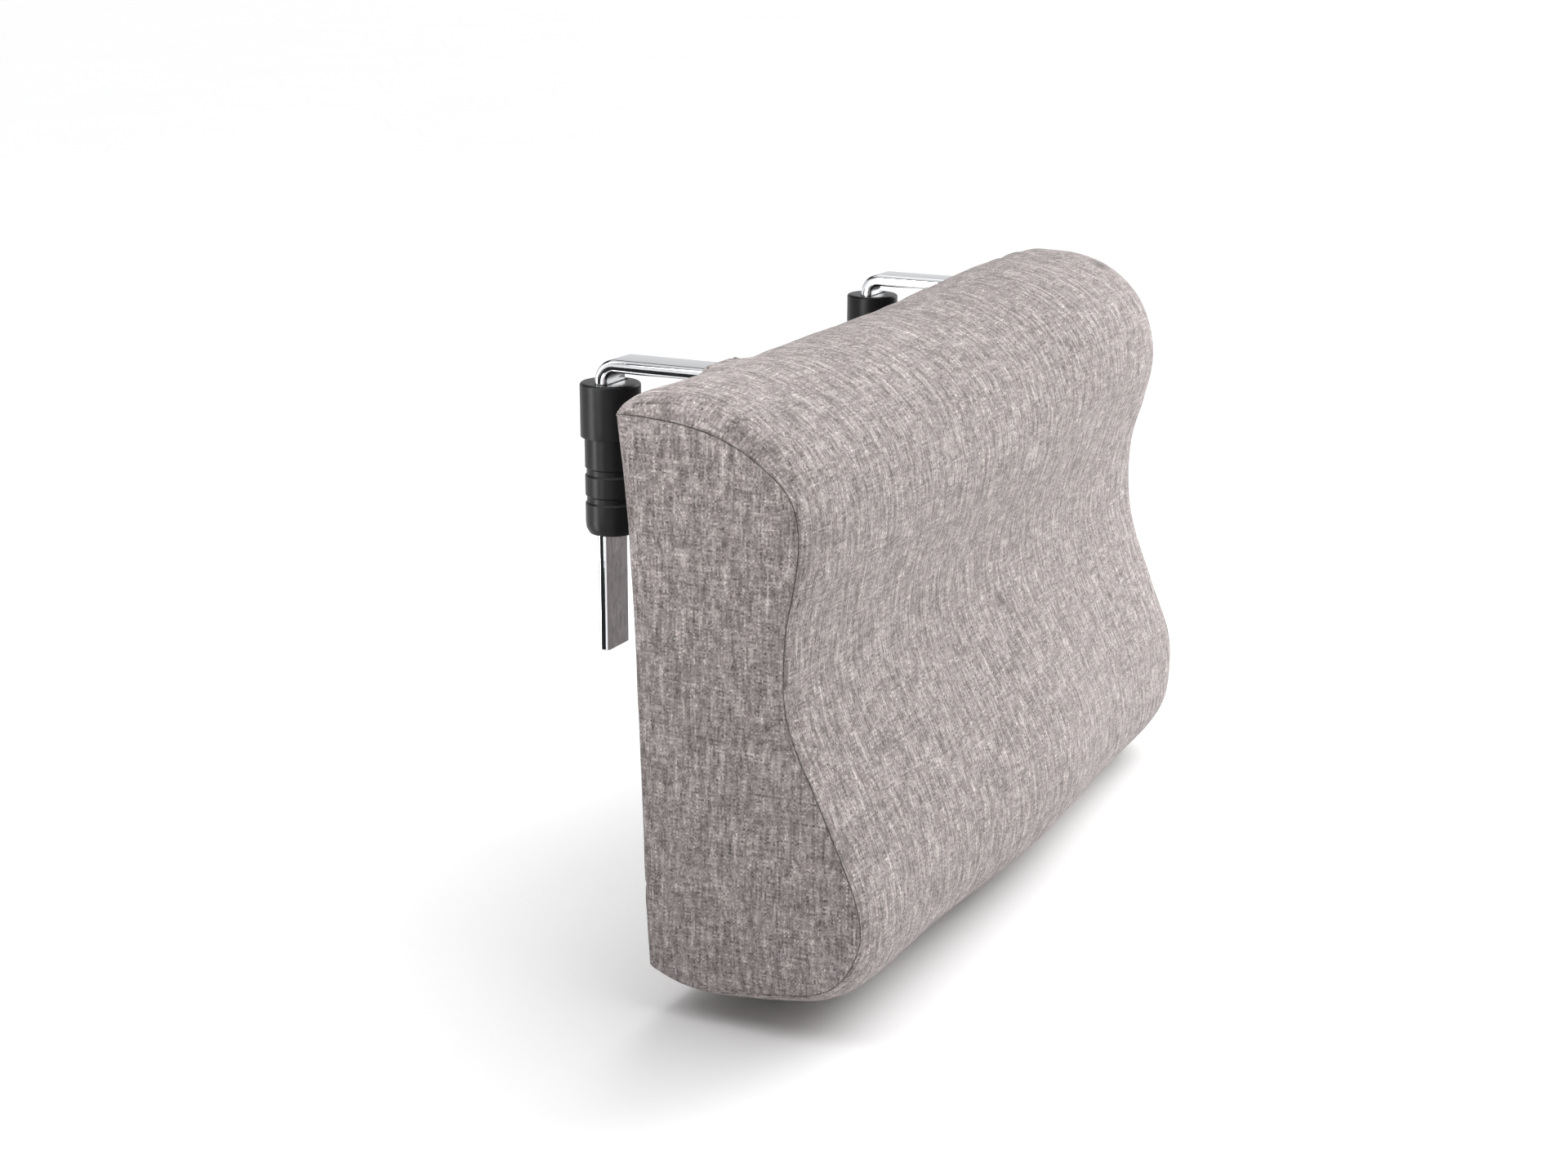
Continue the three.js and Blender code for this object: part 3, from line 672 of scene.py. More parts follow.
def quad(ids, label, uv):
    faces.append(tuple(int(i) for i in ids))
    panel.append(label)
    face_uv.append(uv)


for r in range(NS - 1):
    for c in range(NX - 1):
        ids = (main_id[r, c], main_id[r + 1, c], main_id[r + 1, c + 1], main_id[r, c + 1])
        uv = [(x_cols[c], -s_rows[r]), (x_cols[c], -s_rows[r + 1]), (x_cols[c + 1], -s_rows[r + 1]), (x_cols[c + 1], -s_rows[r])]
        quad(ids, MAIN, uv)
for r in range(NV + 1):
    label = UPPER if r <= ZIP_ROW else OPENING if r == ZIP_ROW + 1 else LOWER
    for c in range(NX - 1):
        ids = (back_id[r, c], back_id[r, c + 1], back_id[r + 1, c + 1], back_id[r + 1, c])
        uv = [(x_cols[c] + 900, -v_all[r]), (x_cols[c + 1] + 900, -v_all[r]), (x_cols[c + 1] + 900, -v_all[r + 1]), (x_cols[c] + 900, -v_all[r + 1])]
        quad(ids, label, uv)

# side panels: two rings that follow the seam, then a net of triangles over a square lattice
for label, col, sx in ((LEFT, 0, -1), (RIGHT, NX - 1, 1)):
    loop = [int(i) for i in main_id[:, col]] + [int(i) for i in back_id[NV:0:-1, col]]
    ring0 = np.array([(verts[i][1], verts[i][2]) for i in loop])
    ring1 = inset_outline(ring0, 1.5)
    ring2 = inset_outline(ring0, 4.6)
    x_end = x_cols[col]
    ids1 = list(range(len(verts), len(verts) + len(loop)))
    verts += [(x_end, y, z) for y, z in ring1]
    ids2 = list(range(len(verts), len(verts) + len(loop)))
    verts += [(x_end, y, z) for y, z in ring2]
    grid = []
    for y in np.arange(-175, -50, 5.0):
        for z in np.arange(-222, 36, 5.0):
            grid.append((y + 0.01 * z, z))
    grid = np.array(grid)
    # keep lattice points well inside ring2
    nxt = np.roll(ring2, -1, 0)
    inside = np.zeros(len(grid), bool)
    for (ya, za), (yb, zb) in zip(ring2, nxt):
        hit = ((za > grid[:, 1]) != (zb > grid[:, 1])) & (grid[:, 0] < (yb - ya) * (grid[:, 1] - za) / (zb - za + 1e-12) + ya)
        inside ^= hit
    dist = np.min(np.linalg.norm(grid[:, None, :] - ring2[None, :, :], axis=2), axis=1)
    grid = grid[inside & (dist > 3.4)]
    pts = [Vector(p) for p in ring2] + [Vector(p) for p in grid]
    nr = len(ring2)
    out = delaunay_2d_cdt(pts, [(k, (k + 1) % nr) for k in range(nr)], [], 1, 1e-5)
    remap = {}
    ovs, _, ofs, orig = out[0], out[1], out[2], out[3]
    for k, v in enumerate(ovs):
        src = [o for o in orig[k] if o < nr]
        if src:
            remap[k] = ids2[src[0]]
        else:
            remap[k] = len(verts)
            verts.append((x_end, v[0], v[1]))

    def side_face(ids):
        ys = [verts[i] for i in ids]
        area = sum(ys[k][1] * ys[(k + 1) % len(ys)][2] - ys[(k + 1) % len(ys)][1] * ys[k][2] for k in range(len(ys)))
        if (area > 0) != (sx > 0):
            ids = ids[::-1]
        uv = [(verts[i][1] * (1 if sx > 0 else -1) + 2000 * sx, verts[i][2]) for i in ids]
        quad(ids, label, uv)

    n = len(loop)
    for k in range(n):
        m = (k + 1) % n
        side_face([loop[k], loop[m], ids1[m], ids1[k]])
        side_face([ids1[k], ids1[m], ids2[m], ids2[k]])
    for f in ofs:
        side_face([remap[i] for i in f])

target = np.array(verts)
panel = np.array(panel)
# the stuffing pushes the back out towards the left end
lean_n = np.array([0.0, math.cos(LEAN), -math.sin(LEAN)])
behind = (np.array([0.0, *b0]) - target) @ lean_n
BULGE_Z = [-216, -180, -120, -60, -20, 10, 36]
BULGE = [2.0, 2.0, 1.4, 0.8, 1.2, 2.6, 4.9]
push = np.interp(target[:, 2], BULGE_Z, BULGE) * smoothstep((-target[:, 0] - 172.0) / 58.0) * smoothstep(1 - behind / 34.0)
target += lean_n * push[:, None]
seam_ids = set(int(i) for i in main_id[0]) | set(int(i) for i in main_id[-1]) | set(int(i) for i in main_id[:, 0]) | set(int(i) for i in main_id[:, -1])
seam_ids |= set(int(i) for i in back_id[:, 0]) | set(int(i) for i in back_id[:, -1])
zip_ids = set(int(i) for r in (ZIP_ROW + 1, ZIP_ROW + 2) for i in back_id[r])

def vertex_normals(co, faces_list):
    nrm = np.zeros_like(co)
    for size in (3, 4):
        fs = np.array([f for f in faces_list if len(f) == size])
        if not len(fs):
            continue
        a, b = co[fs[:, 2]] - co[fs[:, 0]], co[fs[:, -1]] - co[fs[:, 1]]
        fn = np.cross(a, b) if size == 4 else np.cross(co[fs[:, 1]] - co[fs[:, 0]], co[fs[:, 2]] - co[fs[:, 0]])
        for k in range(size):
            np.add.at(nrm, fs[:, k], fn)
    return nrm / (np.linalg.norm(nrm, axis=1, keepdims=True) + 1e-12)


normals0 = vertex_normals(target, faces)
rest = target - normals0 * REST_IN
net = new_object("net", rest * MM, faces)
nb = bmesh.new()
nb.from_mesh(net.data)
print("net", len(nb.verts), "verts", len(nb.faces), "faces; open edges", sum(1 for e in nb.edges if not e.is_manifold))
nb.free()

# distance of each vertex from the nearest held line, which shapes the fill over the foam and the puckers
held = np.array(sorted(seam_ids | zip_ids))
held_co = target[held]
near = np.empty(len(rest))
for k in range(0, len(rest), 1500):
    near[k:k + 1500] = np.min(((target[k:k + 1500, None, :] - held_co[None, :, :]) ** 2).sum(2), axis=1) ** 0.5

pin = net.vertex_groups.new(name="pin")
for i in seam_ids:
    pin.add([i], 0.93, "REPLACE")
for i in zip_ids:
    pin.add([i], 1.0, "REPLACE")
cloth = net.modifiers.new("cloth", "CLOTH")
cs = cloth.settings
cs.quality = 6
cs.mass = 0.25
cs.tension_stiffness = cs.compression_stiffness = 22
cs.shear_stiffness = 8
cs.bending_stiffness = 1.2
cs.tension_damping = cs.compression_damping = cs.shear_damping = 8
cs.air_damping = 2
cs.use_pressure = True
cs.uniform_pressure_force = 4.0
cs.vertex_group_mass = "pin"
cs.pin_stiffness = 3.0
cs.effector_weights.gravity = 0
cloth.collision_settings.use_collision = False
cloth.collision_settings.use_self_collision = False
cloth.point_cache.frame_start = 1
cloth.point_cache.frame_end = 20
scene.frame_start, scene.frame_end = 1, 20
for f in range(1, 21):
    scene.frame_set(f)
blown = evaluated(net)
moved = coords(blown) / MM
bpy.data.meshes.remove(blown)
scene.frame_set(1)
bpy.data.objects.remove(net)

d = moved - rest
dn = (d * normals0).sum(1)
print("blow-up: normal move mm, percentiles", np.percentile(dn, [0, 5, 25, 50, 75, 95, 100]).round(2), "sideways max", np.abs(d - dn[:, None] * normals0).max().round(2))
# foam holds the cover: it fills its size between the seams, and swells by no more than the cap
face_of = np.full(len(rest), -1)
for f, p in zip(faces, panel):
    for i in f:
        face_of[i] = max(face_of[i], p)
cap = np.where(face_of == MAIN, 2.8, 3.6)
cap = np.where((face_of == UPPER) | (face_of == LOWER), 3.2, cap)
fill = REST_IN * (1 - np.exp(-near / 1.0)) + cap * np.tanh(np.clip(dn, 0, None) / 5.0) * (1 - np.exp(-near / 9.0))
side = d - dn[:, None] * normals0
side *= np.minimum(1.0, 1.2 / (np.linalg.norm(side, axis=1, keepdims=True) + 1e-9))
P = rest + normals0 * fill[:, None] + side

# seams sit on the finished size
for i in seam_ids:
    P[i] = target[i]
for i in zip_ids:
    P[i] = target[i]


# the back panel lies on the zip's plane beside the zip
back_n = np.array([0.0, math.cos(LEAN), -math.sin(LEAN)])
for r in range(1, NV + 1):
    dv = abs(v_all[r] - zip_v)
    w = float(smoothstep(1 - (dv - 7) / 26.0))
    for c in range(1, NX - 1):
        i = back_id[r, c]
        if int(i) in zip_ids:
            continue
        off = float((P[i] - target[i]) @ back_n)
        P[i] += back_n * w * (0.2 * (1 - w) - off)

# ---- the arms lift the cover where they go in
bar_top = ARM_Z + 0.45                 # underside of the cloth over a bar
n1 = vertex_normals(P, faces)
on_main = np.zeros(len(P), bool)
on_main[main_id.ravel()] = True
for sx in (-1, 1):
    dx = P[:, 0] - sx * xa
    flat = 1 - smoothstep((abs(dx) - 10.2) / 17.0)
    flat = np.where(abs(dx) < 10.9, 1.0, flat ** 1.15)
    fore = 1 - smoothstep((-P[:, 1] - 79.0) / 30.0)
    want = bar_top + 1.05
    lift = np.clip(want - P[:, 2], 0, None) * flat * fore + 0.4 * np.exp(-(dx / 15.0) ** 2) * fore * (P[:, 1] < -58)
    lift[~on_main] = 0
    lift[P[:, 2] < 8] = 0
    P[:, 2] += lift

# small pulls along the seams and the soft creases at the upper corners
arc = np.zeros(len(P))
for r in range(NS):
    arc[main_id[r]] = s_rows[r]
for c in range(NX):
    for r in range(1, NV + 1):
        arc[back_id[r, c]] = -v_all[r]
near2 = np.minimum(near, 60)
pucker = value_noise(np.stack([P[:, 0] / 15.0, P[:, 1] / 15.0, P[:, 2] / 15.0], 1), 3)
broad = value_noise(P / 62.0, 9)
amp = 0.55 * np.exp(-near2 / 9.0) + 0.16
free = np.ones(len(P), bool)
free[list(seam_ids | zip_ids)] = False
P += n1 * ((pucker * amp + broad * 0.7 * (1 - np.exp(-near2 / 20.0))) * free)[:, None]


def crease(p, a, b, width, depth, crown=0.5):
    """A shallow fold in the cloth from a to b, with a low ridge on each side."""
    a, b = (p[np.argmin(((p - np.array(q, float)) ** 2).sum(1))] for q in (a, b))
    ab = b - a
    t = ((p - a) @ ab) / (ab @ ab)
    foot = a + np.clip(t, 0, 1)[:, None] * ab
    dist = np.linalg.norm(p - foot, axis=1)
    ends = smoothstep(np.clip(t, 0, 1) / 0.25) * smoothstep((1 - np.clip(t, 0, 1)) / 0.35)
    return (-depth * np.exp(-(dist / width) ** 2) + crown * depth * np.exp(-((dist - 2.1 * width) / width) ** 2)) * ends


fold = np.zeros(len(P))
for a, b, w, dep in [
    ((212, -62, 38), (176, -92, 35), 4.2, 1.7),
    ((221, -74, 33), (196, -112, 27), 4.0, 1.5),
    ((224, -96, 26), (205, -128, 12), 3.6, 1.1),
    ((190, -60, 39), (168, -74, 37), 3.4, 1.2),
    ((-216, -66, 36), (-196, -92, 33), 3.8, 0.9),
    ((-221, -100, 26), (-206, -124, 14), 3.4, 0.8),
    ((120, -66, 38), (104, -88, 35), 4.0, 0.8),
    ((-168, -64, 38), (-184, -84, 35), 4.0, 0.8),
    ((222, -150, -150), (200, -138, -118), 4.5, 0.9),
    ((-222, -152, -152), (-204, -140, -124), 4.5, 0.8),
    ((223, -128, -52), (196, -127, -70), 4.5, 0.8),
    ((-223, -128, -56), (-200, -127, -74), 4.5, 0.7),
]:
    fold += crease(P, a, b, w, dep)
fold[~free] = 0
P += n1 * fold[:, None]

# ---- sink the seams, then cut the net apart and turn the edges in
n2 = vertex_normals(P, faces)
for i in seam_ids:
    P[i] -= n2[i] * 0.55
arm_cols = [c for c in range(NX) if min(abs(x_cols[c] - xa), abs(x_cols[c] + xa)) < 12.9]


def panel_object(name, label, turn=1.9, thick=1.3):
    fs = [f for f, p in zip(faces, panel) if p == label]
    fu = [u for u, p in zip(face_uv, panel) if p == label]
    used = sorted(set(i for f in fs for i in f))
    local = {g: k for k, g in enumerate(used)}
    co = P[used].copy()
    nn = n2[used].copy()
    count = {}
    for f in fs:
        for k in range(len(f)):
            e = (f[k], f[(k + 1) % len(f)])
            key = (min(e), max(e))
            count.setdefault(key, []).append(e)
    edge = [v[0] for k, v in count.items() if len(v) == 1]
    rim = set(i for e in edge for i in e)
    # direction from the rim into the panel
    ring = {i: [] for i in rim}
    for f in fs:
        on = [i for i in f if i in rim]
        off = [i for i in f if i not in rim]
        for i in on:
            ring[i] += off
    into = {}
    for i in rim:
        pts = ring[i]
        if pts:
            v = P[pts].mean(0) - P[i]
        else:
            v = np.mean([P[j] for f in fs if i in f for j in f], 0) - P[i]
        v = v - (v @ n2[i]) * n2[i]
        into[i] = v / (np.linalg.norm(v) + 1e-9)
    # openings round the arms
    mouth = {}
    for c in arm_cols:
        i = int(main_id[0, c])
        if i not in local:
            continue
        dxa = min(abs(x_cols[c] - xa), abs(x_cols[c] + xa))
        k = local[i]
        open_w = 1 - smoothstep((dxa - 10.6) / 2.3)
        if label == MAIN:
            mouth[i] = float(open_w)
            co[k, 2] = P[i, 2] + 0.55 * open_w
        elif label == UPPER:
            low = ARM_Z - BAR_T - 0.9
            co[k, 2] = P[i, 2] * (1 - open_w) + low * open_w
            co[k, 1] -= 0.2 * open_w
    if label == UPPER:
        for rr, keep in ((1, 0.86), (2, 0.42)):
            for c in arm_cols:
                i = int(back_id[rr, c])
                dxa = min(abs(x_cols[c] - xa), abs(x_cols[c] + xa))
                open_w = 1 - smoothstep((dxa - 10.6) / 2.3)
                top_z = ARM_Z - BAR_T - 0.9
                target = top_z - (1.4 if rr == 1 else 4.0)
                k = local[i]
                co[k, 2] = min(co[k, 2], co[k, 2] * (1 - open_w) + target * open_w)
    ids = {}
    extra = []
    for i in rim:
        k = local[i]
        co[k] += into[i] * 0.12
        ids[i] = len(used) + len(extra)
        down = n2[i]
        if label in (UPPER, LOWER) and i in zip_ids:
            down = back_n
        # the turned-in edges of two panels meet under their seam; over an arm the edge folds forwards instead
        fold_in = co[k] - down * turn - into[i] * (0.12 if i in seam_ids else 0.0)
        w = mouth.get(i, 0.0)
        extra.append(fold_in * (1 - w) + (co[k] + np.array([0.0, 0.1, -1.2])) * w)
    allco = np.vstack([co, np.array(extra)])
    allf = [tuple(local[i] for i in f) for f in fs]
    alluv = list(fu)
    uv_of = {}
    for f, u in zip(fs, fu):
        for i, w in zip(f, u):
            uv_of[i] = w
    cen = {}
    for a, b in edge:
        allf.append((local[b], local[a], ids[a], ids[b]))
        ua, ub = np.array(uv_of[a]), np.array(uv_of[b])
        t = np.array([ub[1] - ua[1], -(ub[0] - ua[0])])
        t = t / (np.linalg.norm(t) + 1e-9) * turn
        alluv.append([tuple(ub), tuple(ua), tuple(ua + t), tuple(ub + t)])
    ob = new_object(name, allco * MM, allf)
    layer = ob.data.uv_layers.new(name="cloth")
    flat_uv = [w for u in alluv for w in u]
    if len(layer.data) != len(flat_uv):
        raise RuntimeError(f"{name}: {len(layer.data)} corners, {len(flat_uv)} coordinates")
    layer.data.foreach_set("uv", (np.array(flat_uv) * MM).ravel())
    smooth(ob)
    sub = ob.modifiers.new("sub", "SUBSURF")
    sub.levels = sub.render_levels = 1
    sub.uv_smooth = "PRESERVE_BOUNDARIES"
    sol = ob.modifiers.new("thick", "SOLIDIFY")
    sol.thickness = thick * MM
    sol.offset = -1
    sol.use_even_offset = False
    bake_modifiers(ob)
    paint(ob, M["fabric"])
    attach(ob, "headrest")
    return ob


cover_main = panel_object("sewn_cover_main", MAIN)
cover_left = panel_object("sewn_cover_side_left", LEFT)
cover_right = panel_object("sewn_cover_side_right", RIGHT)
cover_upper = panel_object("sewn_cover_back_upper", UPPER, turn=1.2)
cover_lower = panel_object("sewn_cover_back_lower", LOWER, turn=1.2)
for ob, node in ((cover_main, "cover_main"), (cover_left, "cover_side_left"), (cover_right, "cover_side_right"),
                 (cover_upper, "cover_back_upper"), (cover_lower, "cover_back_lower")):
    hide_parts(node)


# ------------------------------------------------------------- foam, wadding
def softened(node, name, mat, voxel=0.0035):
    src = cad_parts[node]
    ob = bpy.data.objects.new(name, src.data.copy())
    scene.collection.objects.link(ob)
    m = ob.modifiers.new("remesh", "REMESH")
    m.mode = "VOXEL"
    m.voxel_size = voxel
    sm = ob.modifiers.new("smooth", "SMOOTH")
    sm.factor = 0.5
    sm.iterations = 3
    bake_modifiers(ob)
    smooth(ob)
    paint(ob, mat)
    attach(ob, "headrest")
    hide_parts(node)
    return ob


foam_a = softened("foam_front", "foam_block_contoured", M["foam"], 0.004)
foam_b = softened("foam_back", "foam_sheet_back", M["foam"], 0.0025)


def follow_cover(co):
    """Move points of the nominal foam to where the sewn cover squeezes them."""
    out = co.copy()
    for k in range(0, len(co), 4000):
        q = co[k:k + 4000]
        dist = np.linalg.norm(q[:, None, 1:] - dense_p[None, ::2, :], axis=2)
        j = np.argmin(dist, axis=1) * 2
        depth = dist[np.arange(len(q)), j // 2]
        move = np.minimum(swell_at(dense_s[j], q[:, 0]), 0.0) - 0.4
        out[k:k + 4000, 1:] += dense_n[j] * (move * smoothstep(1.25 - depth / 40.0))[:, None]
    return out


for ob in (foam_a, foam_b):
    set_coords(ob.data, follow_cover(coords(ob.data) / MM) * MM)


def wadding_wrap():
    """A layer of wadding just under the cover, over the top, front and underside."""
    rows = [r for r in range(NS) if row_p[r, 0] < -88]
    rows = rows[::2] + ([] if len(rows) % 2 else [rows[-1]])
    cols = list(range(2, NX - 2, 2))
    vs, fs = [], []
    for r in rows:
        for c in cols:
            i = main_id[r, c]
            vs.append(P[i] - n2[i] * 2.3)
    w = len(cols)
    for k in range(len(rows) - 1):
        for m in range(w - 1):
            fs.append((k * w + m, (k + 1) * w + m, (k + 1) * w + m + 1, k * w + m + 1))
    vs = np.array(vs)
    vs -= vertex_normals(vs, fs) * (0.2 + 0.2 * value_noise(vs / 22.0, 5))[:, None]
    ob = new_object("wadding_wrap_soft", vs * MM, fs)
    smooth(ob)
    m = ob.modifiers.new("thick", "SOLIDIFY")
    m.thickness = 0.0019
    m.offset = -1
    bake_modifiers(ob)
    paint(ob, M["wadding"])
    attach(ob, "headrest")
    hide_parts("wadding_wrap")


wadding_wrap()


# --------------------------------------------------------------- chromed arms
def bar_path():
    y0, y1 = 0.0, INNER_BACK - BAR_T / 2
    rc = BEND_R - BAR_T / 2
    zc = ARM_Z - BEND_R
    pts = [(y0, LEG_BOTTOM), (y0, LEG_BOTTOM + 0.7)] + [(y0, z) for z in np.linspace(LEG_BOTTOM + 6, zc - 2, 10)]
    pts += [(y0 - rc + rc * math.cos(a), zc + rc * math.sin(a)) for a in np.linspace(0, math.pi / 2, 22)]
    pts += [(y, ARM_Z - BAR_T / 2) for y in np.linspace(y0 - rc - 3, y1 + rc + 3, 8)]
    pts += [(y1 + rc + rc * math.cos(a), zc + rc * math.sin(a)) for a in np.linspace(math.pi / 2, math.pi, 22)]
    pts += [(y1, z) for z in np.linspace(zc - 2, INNER_BOTTOM + 6, 8)] + [(y1, INNER_BOTTOM + 0.7), (y1, INNER_BOTTOM)]
    return np.array(pts)


def bar_section(shrink=0.0, r=2.1, seg=7):
    hw, ht = BAR_W / 2 - shrink, BAR_T / 2 - shrink
    out = []
    for cx, cy, a0 in ((hw - r, ht - r, 0), (-hw + r, ht - r, math.pi / 2), (-hw + r, -ht + r, math.pi), (hw - r, -ht + r, 1.5 * math.pi)):
        for k in range(seg + 1):
            a = a0 + k * math.pi / 2 / seg
            out.append((cx + r * math.cos(a), cy + r * math.sin(a)))
    return out


def make_arm(side, sx):
    path = bar_path()
    tang = np.gradient(path, axis=0)
    tang /= np.linalg.norm(tang, axis=1, keepdims=True)
    vs, fs = [], []
    sec = bar_section()
    small = bar_section(0.55, 1.7)
    n = len(sec)
    for k, (q, t) in enumerate(zip(path, tang)):
        nrm = np.array([t[1], -t[0]])            # left of travel in (y, z): towards the outside of the bends
        use = small if k in (0, len(path) - 1) else sec
        for u, w in use:
            vs.append((u, q[0] + nrm[0] * w, q[1] + nrm[1] * w))
    for k in range(len(path) - 1):
        for m in range(n):
            a, b = k * n + m, k * n + (m + 1) % n
            fs.append((a, b, b + n, a + n))
    fs.append(tuple(range(n))[::-1])
    fs.append(tuple((len(path) - 1) * n + m for m in range(n)))
    ob = new_object(f"flat_bar_{side}", (np.array(vs) + np.array([sx * SPACING / 2, 0, 0])) * MM, fs)
    recalc(ob)
    for z in SCREW_Z:
        bpy.ops.mesh.primitive_cylinder_add(vertices=48, radius=3.4 * MM, depth=20 * MM,
                                            location=(sx * SPACING / 2 * MM, (INNER_BACK - BAR_T / 2) * MM, z * MM), rotation=(math.pi / 2, 0, 0))
        boolean(ob, bpy.context.object)
    smooth(ob, 32)
    paint(ob, M["chrome"])
    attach(ob, "headrest")
    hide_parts(f"arm_{side}")


# ------------------------------------------------------------------- sockets
def lathe(points, seg=96):
    vs, fs = [], []
    rings = []
    for r, z in points:
        if r < 1e-6:
            rings.append([len(vs)])
            vs.append((0, 0, z))
        else:
            rings.append(list(range(len(vs), len(vs) + seg)))
            vs += [(r * math.cos(2 * math.pi * k / seg), r * math.sin(2 * math.pi * k / seg), z) for k in range(seg)]
    for a, b in zip(rings[:-1], rings[1:]):
        for k in range(seg):
            m = (k + 1) % seg
            if len(a) == 1:
                fs.append((a[0], b[m], b[k])[::-1])
            elif len(b) == 1:
                fs.append((a[k], a[m], b[0]))
            else:
                fs.append((a[k], a[m], b[m], b[k]))
    return np.array(vs), fs


def fillet(cx, cz, r, a0, a1, seg=6):
    return [(cx + r * math.cos(math.radians(a)), cz + r * math.sin(math.radians(a))) for a in np.linspace(a0, a1, seg + 1)]


def make_socket(side, sx):
    R, H, S = COLLAR_R, COLLAR_H, SPIGOT_R
    pts = [(0, -SPIGOT_H), (S - 1.6, -SPIGOT_H), (S - 0.3, -SPIGOT_H + 2.5), (S, -SPIGOT_H + 5), (S, -31)]
    pts += fillet(S, -29, 1.0, 90 + 180, 90, 0)[:0]
    pts += [(S - 0.35, -30.6), (S - 0.7, -30.2), (S - 0.7, -27.8), (S - 0.35, -27.4), (S, -27), (S, -18), (S - 0.35, -17.6), (S - 0.7, -17.2),
            (S - 0.7, -14.8), (S - 0.35, -14.4), (S, -14), (S, 0), (R - 0.4, 0)]
    pts += fillet(R - 0.4, 0.4, 0.4, -60, 0, 3) + [(R, 6), (R, 12), (R, 18)]
    pts += fillet(R - 1.3, H - 1.3, 1.3, 0, 90, 7) + [(0, H)]
    vs, fs = lathe(pts, 112)
    vs[:, 0] += sx * SPACING / 2
    ob = new_object(f"socket_moulding_{side}", vs * MM, fs)
    recalc(ob)
    w, t = BAR_W / 2 + 0.3, BAR_T / 2 + 0.3
    r = 1.9
    sec = []
    for cx, cy, a0 in ((w - r, t - r, 0), (-w + r, t - r, 90), (-w + r, -t + r, 180), (w - r, -t + r, 270)):
        sec += [(cx + r * math.cos(math.radians(a0 + k * 15)), cy + r * math.sin(math.radians(a0 + k * 15))) for k in range(7)]
    # the way for the bar, with a flared mouth
    levels = [(-SPIGOT_H - 3, 0.0), (H - 1.1, 0.0), (H - 0.45, 0.25), (H + 0.02, 0.8), (H + 3, 0.8)]
    cv, cf = [], []
    n = len(sec)
    for z, grow in levels:
        for x, y in sec:
            cv.append((x * (1 + grow / w) + sx * SPACING / 2, y * (1 + grow / t), z))
    for k in range(len(levels) - 1):
        for m in range(n):
            a, b = k * n + m, k * n + (m + 1) % n
            cf.append((a, b, b + n, a + n))
    cf.append(tuple(range(n))[::-1])
    cf.append(tuple((len(levels) - 1) * n + m for m in range(n)))
    cutter = new_object("cutter", np.array(cv) * MM, cf)
    recalc(cutter)
    boolean(ob, cutter)
    smooth(ob, 28)
    paint(ob, M["black"])
    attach(ob, "sockets")
    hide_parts(f"socket_{side}")


for side, sx in (("left", -1), ("right", 1)):
    make_arm(side, sx)
    make_socket(side, sx)

# ----------------------------------------------------------------------- zip
def on_back(points):
    """Points given as (x, out of the back, down from the top corner) in the back panel's own frame."""
    q = np.asarray(points, float)
    return np.stack([q[:, 0], b0[0] + q[:, 1] * back_n[1] + q[:, 2] * back_dir[0], b0[1] + q[:, 1] * back_n[2] + q[:, 2] * back_dir[1]], 1)


def tubes(runs, radius, seg=6):
    """One mesh of round threads along runs of points."""
    vs, fs = [], []
    for run in runs:
        t = np.gradient(run, axis=0)
        t /= np.linalg.norm(t, axis=1, keepdims=True) + 1e-12
        a = np.cross(t, back_n)
        a /= np.linalg.norm(a, axis=1, keepdims=True) + 1e-12
        b = np.cross(t, a)
        base = len(vs)
        for k in range(len(run)):
            for m in range(seg):
                w = 2 * math.pi * m / seg
                vs.append(run[k] + radius * (math.cos(w) * a[k] + math.sin(w) * b[k]))
        for k in range(len(run) - 1):
            for m in range(seg):
                i0, i1 = base + k * seg + m, base + k * seg + (m + 1) % seg
                fs.append((i0, i1, i1 + seg, i0 + seg))
        fs.append(tuple(base + m for m in range(seg))[::-1])
        fs.append(tuple(base + (len(run) - 1) * seg + m for m in range(seg)))
    return vs, fs


def make_coil():
    """Two spirals of monofilament that mesh along the middle of the zip."""
    pitch, per = 1.35, 12
    turns = int((ZIP_LEN - 1.0) / pitch)
    w = np.linspace(0, 2 * math.pi * turns, turns * per + 1)
    runs = []
    for sgn, phase in ((-1, 0.0), (1, 0.5)):
        x = -ZIP_LEN / 2 + 0.5 + (w / (2 * math.pi) + phase) * pitch * (ZIP_LEN - 2.0) / (turns * pitch)
        run = np.stack([x, -1.05 + 0.48 * np.cos(w), ZIP_S + sgn * (0.95 - 1.0 * np.sin(w))], 1)
        runs.append(on_back(run))
    vs, fs = tubes(runs, 0.27, 5)
    # the cord inside each spiral
    for sgn in (-1, 1):
        line = np.stack([np.linspace(-ZIP_LEN / 2 + 0.4, ZIP_LEN / 2 - 0.4, 60), np.full(60, -1.1), np.full(60, ZIP_S + sgn * 1.25)], 1)
        cv, cf = tubes([on_back(line)], 0.5, 8)
        fs += [tuple(len(vs) + q for q in f) for f in cf]
        vs += cv
    ob = new_object("zip_coil", np.array(vs) * MM, fs)
    recalc(ob)
    smooth(ob)
    paint(ob, M["coil"])
    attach(ob, "headrest")
    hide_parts("zip_chain")


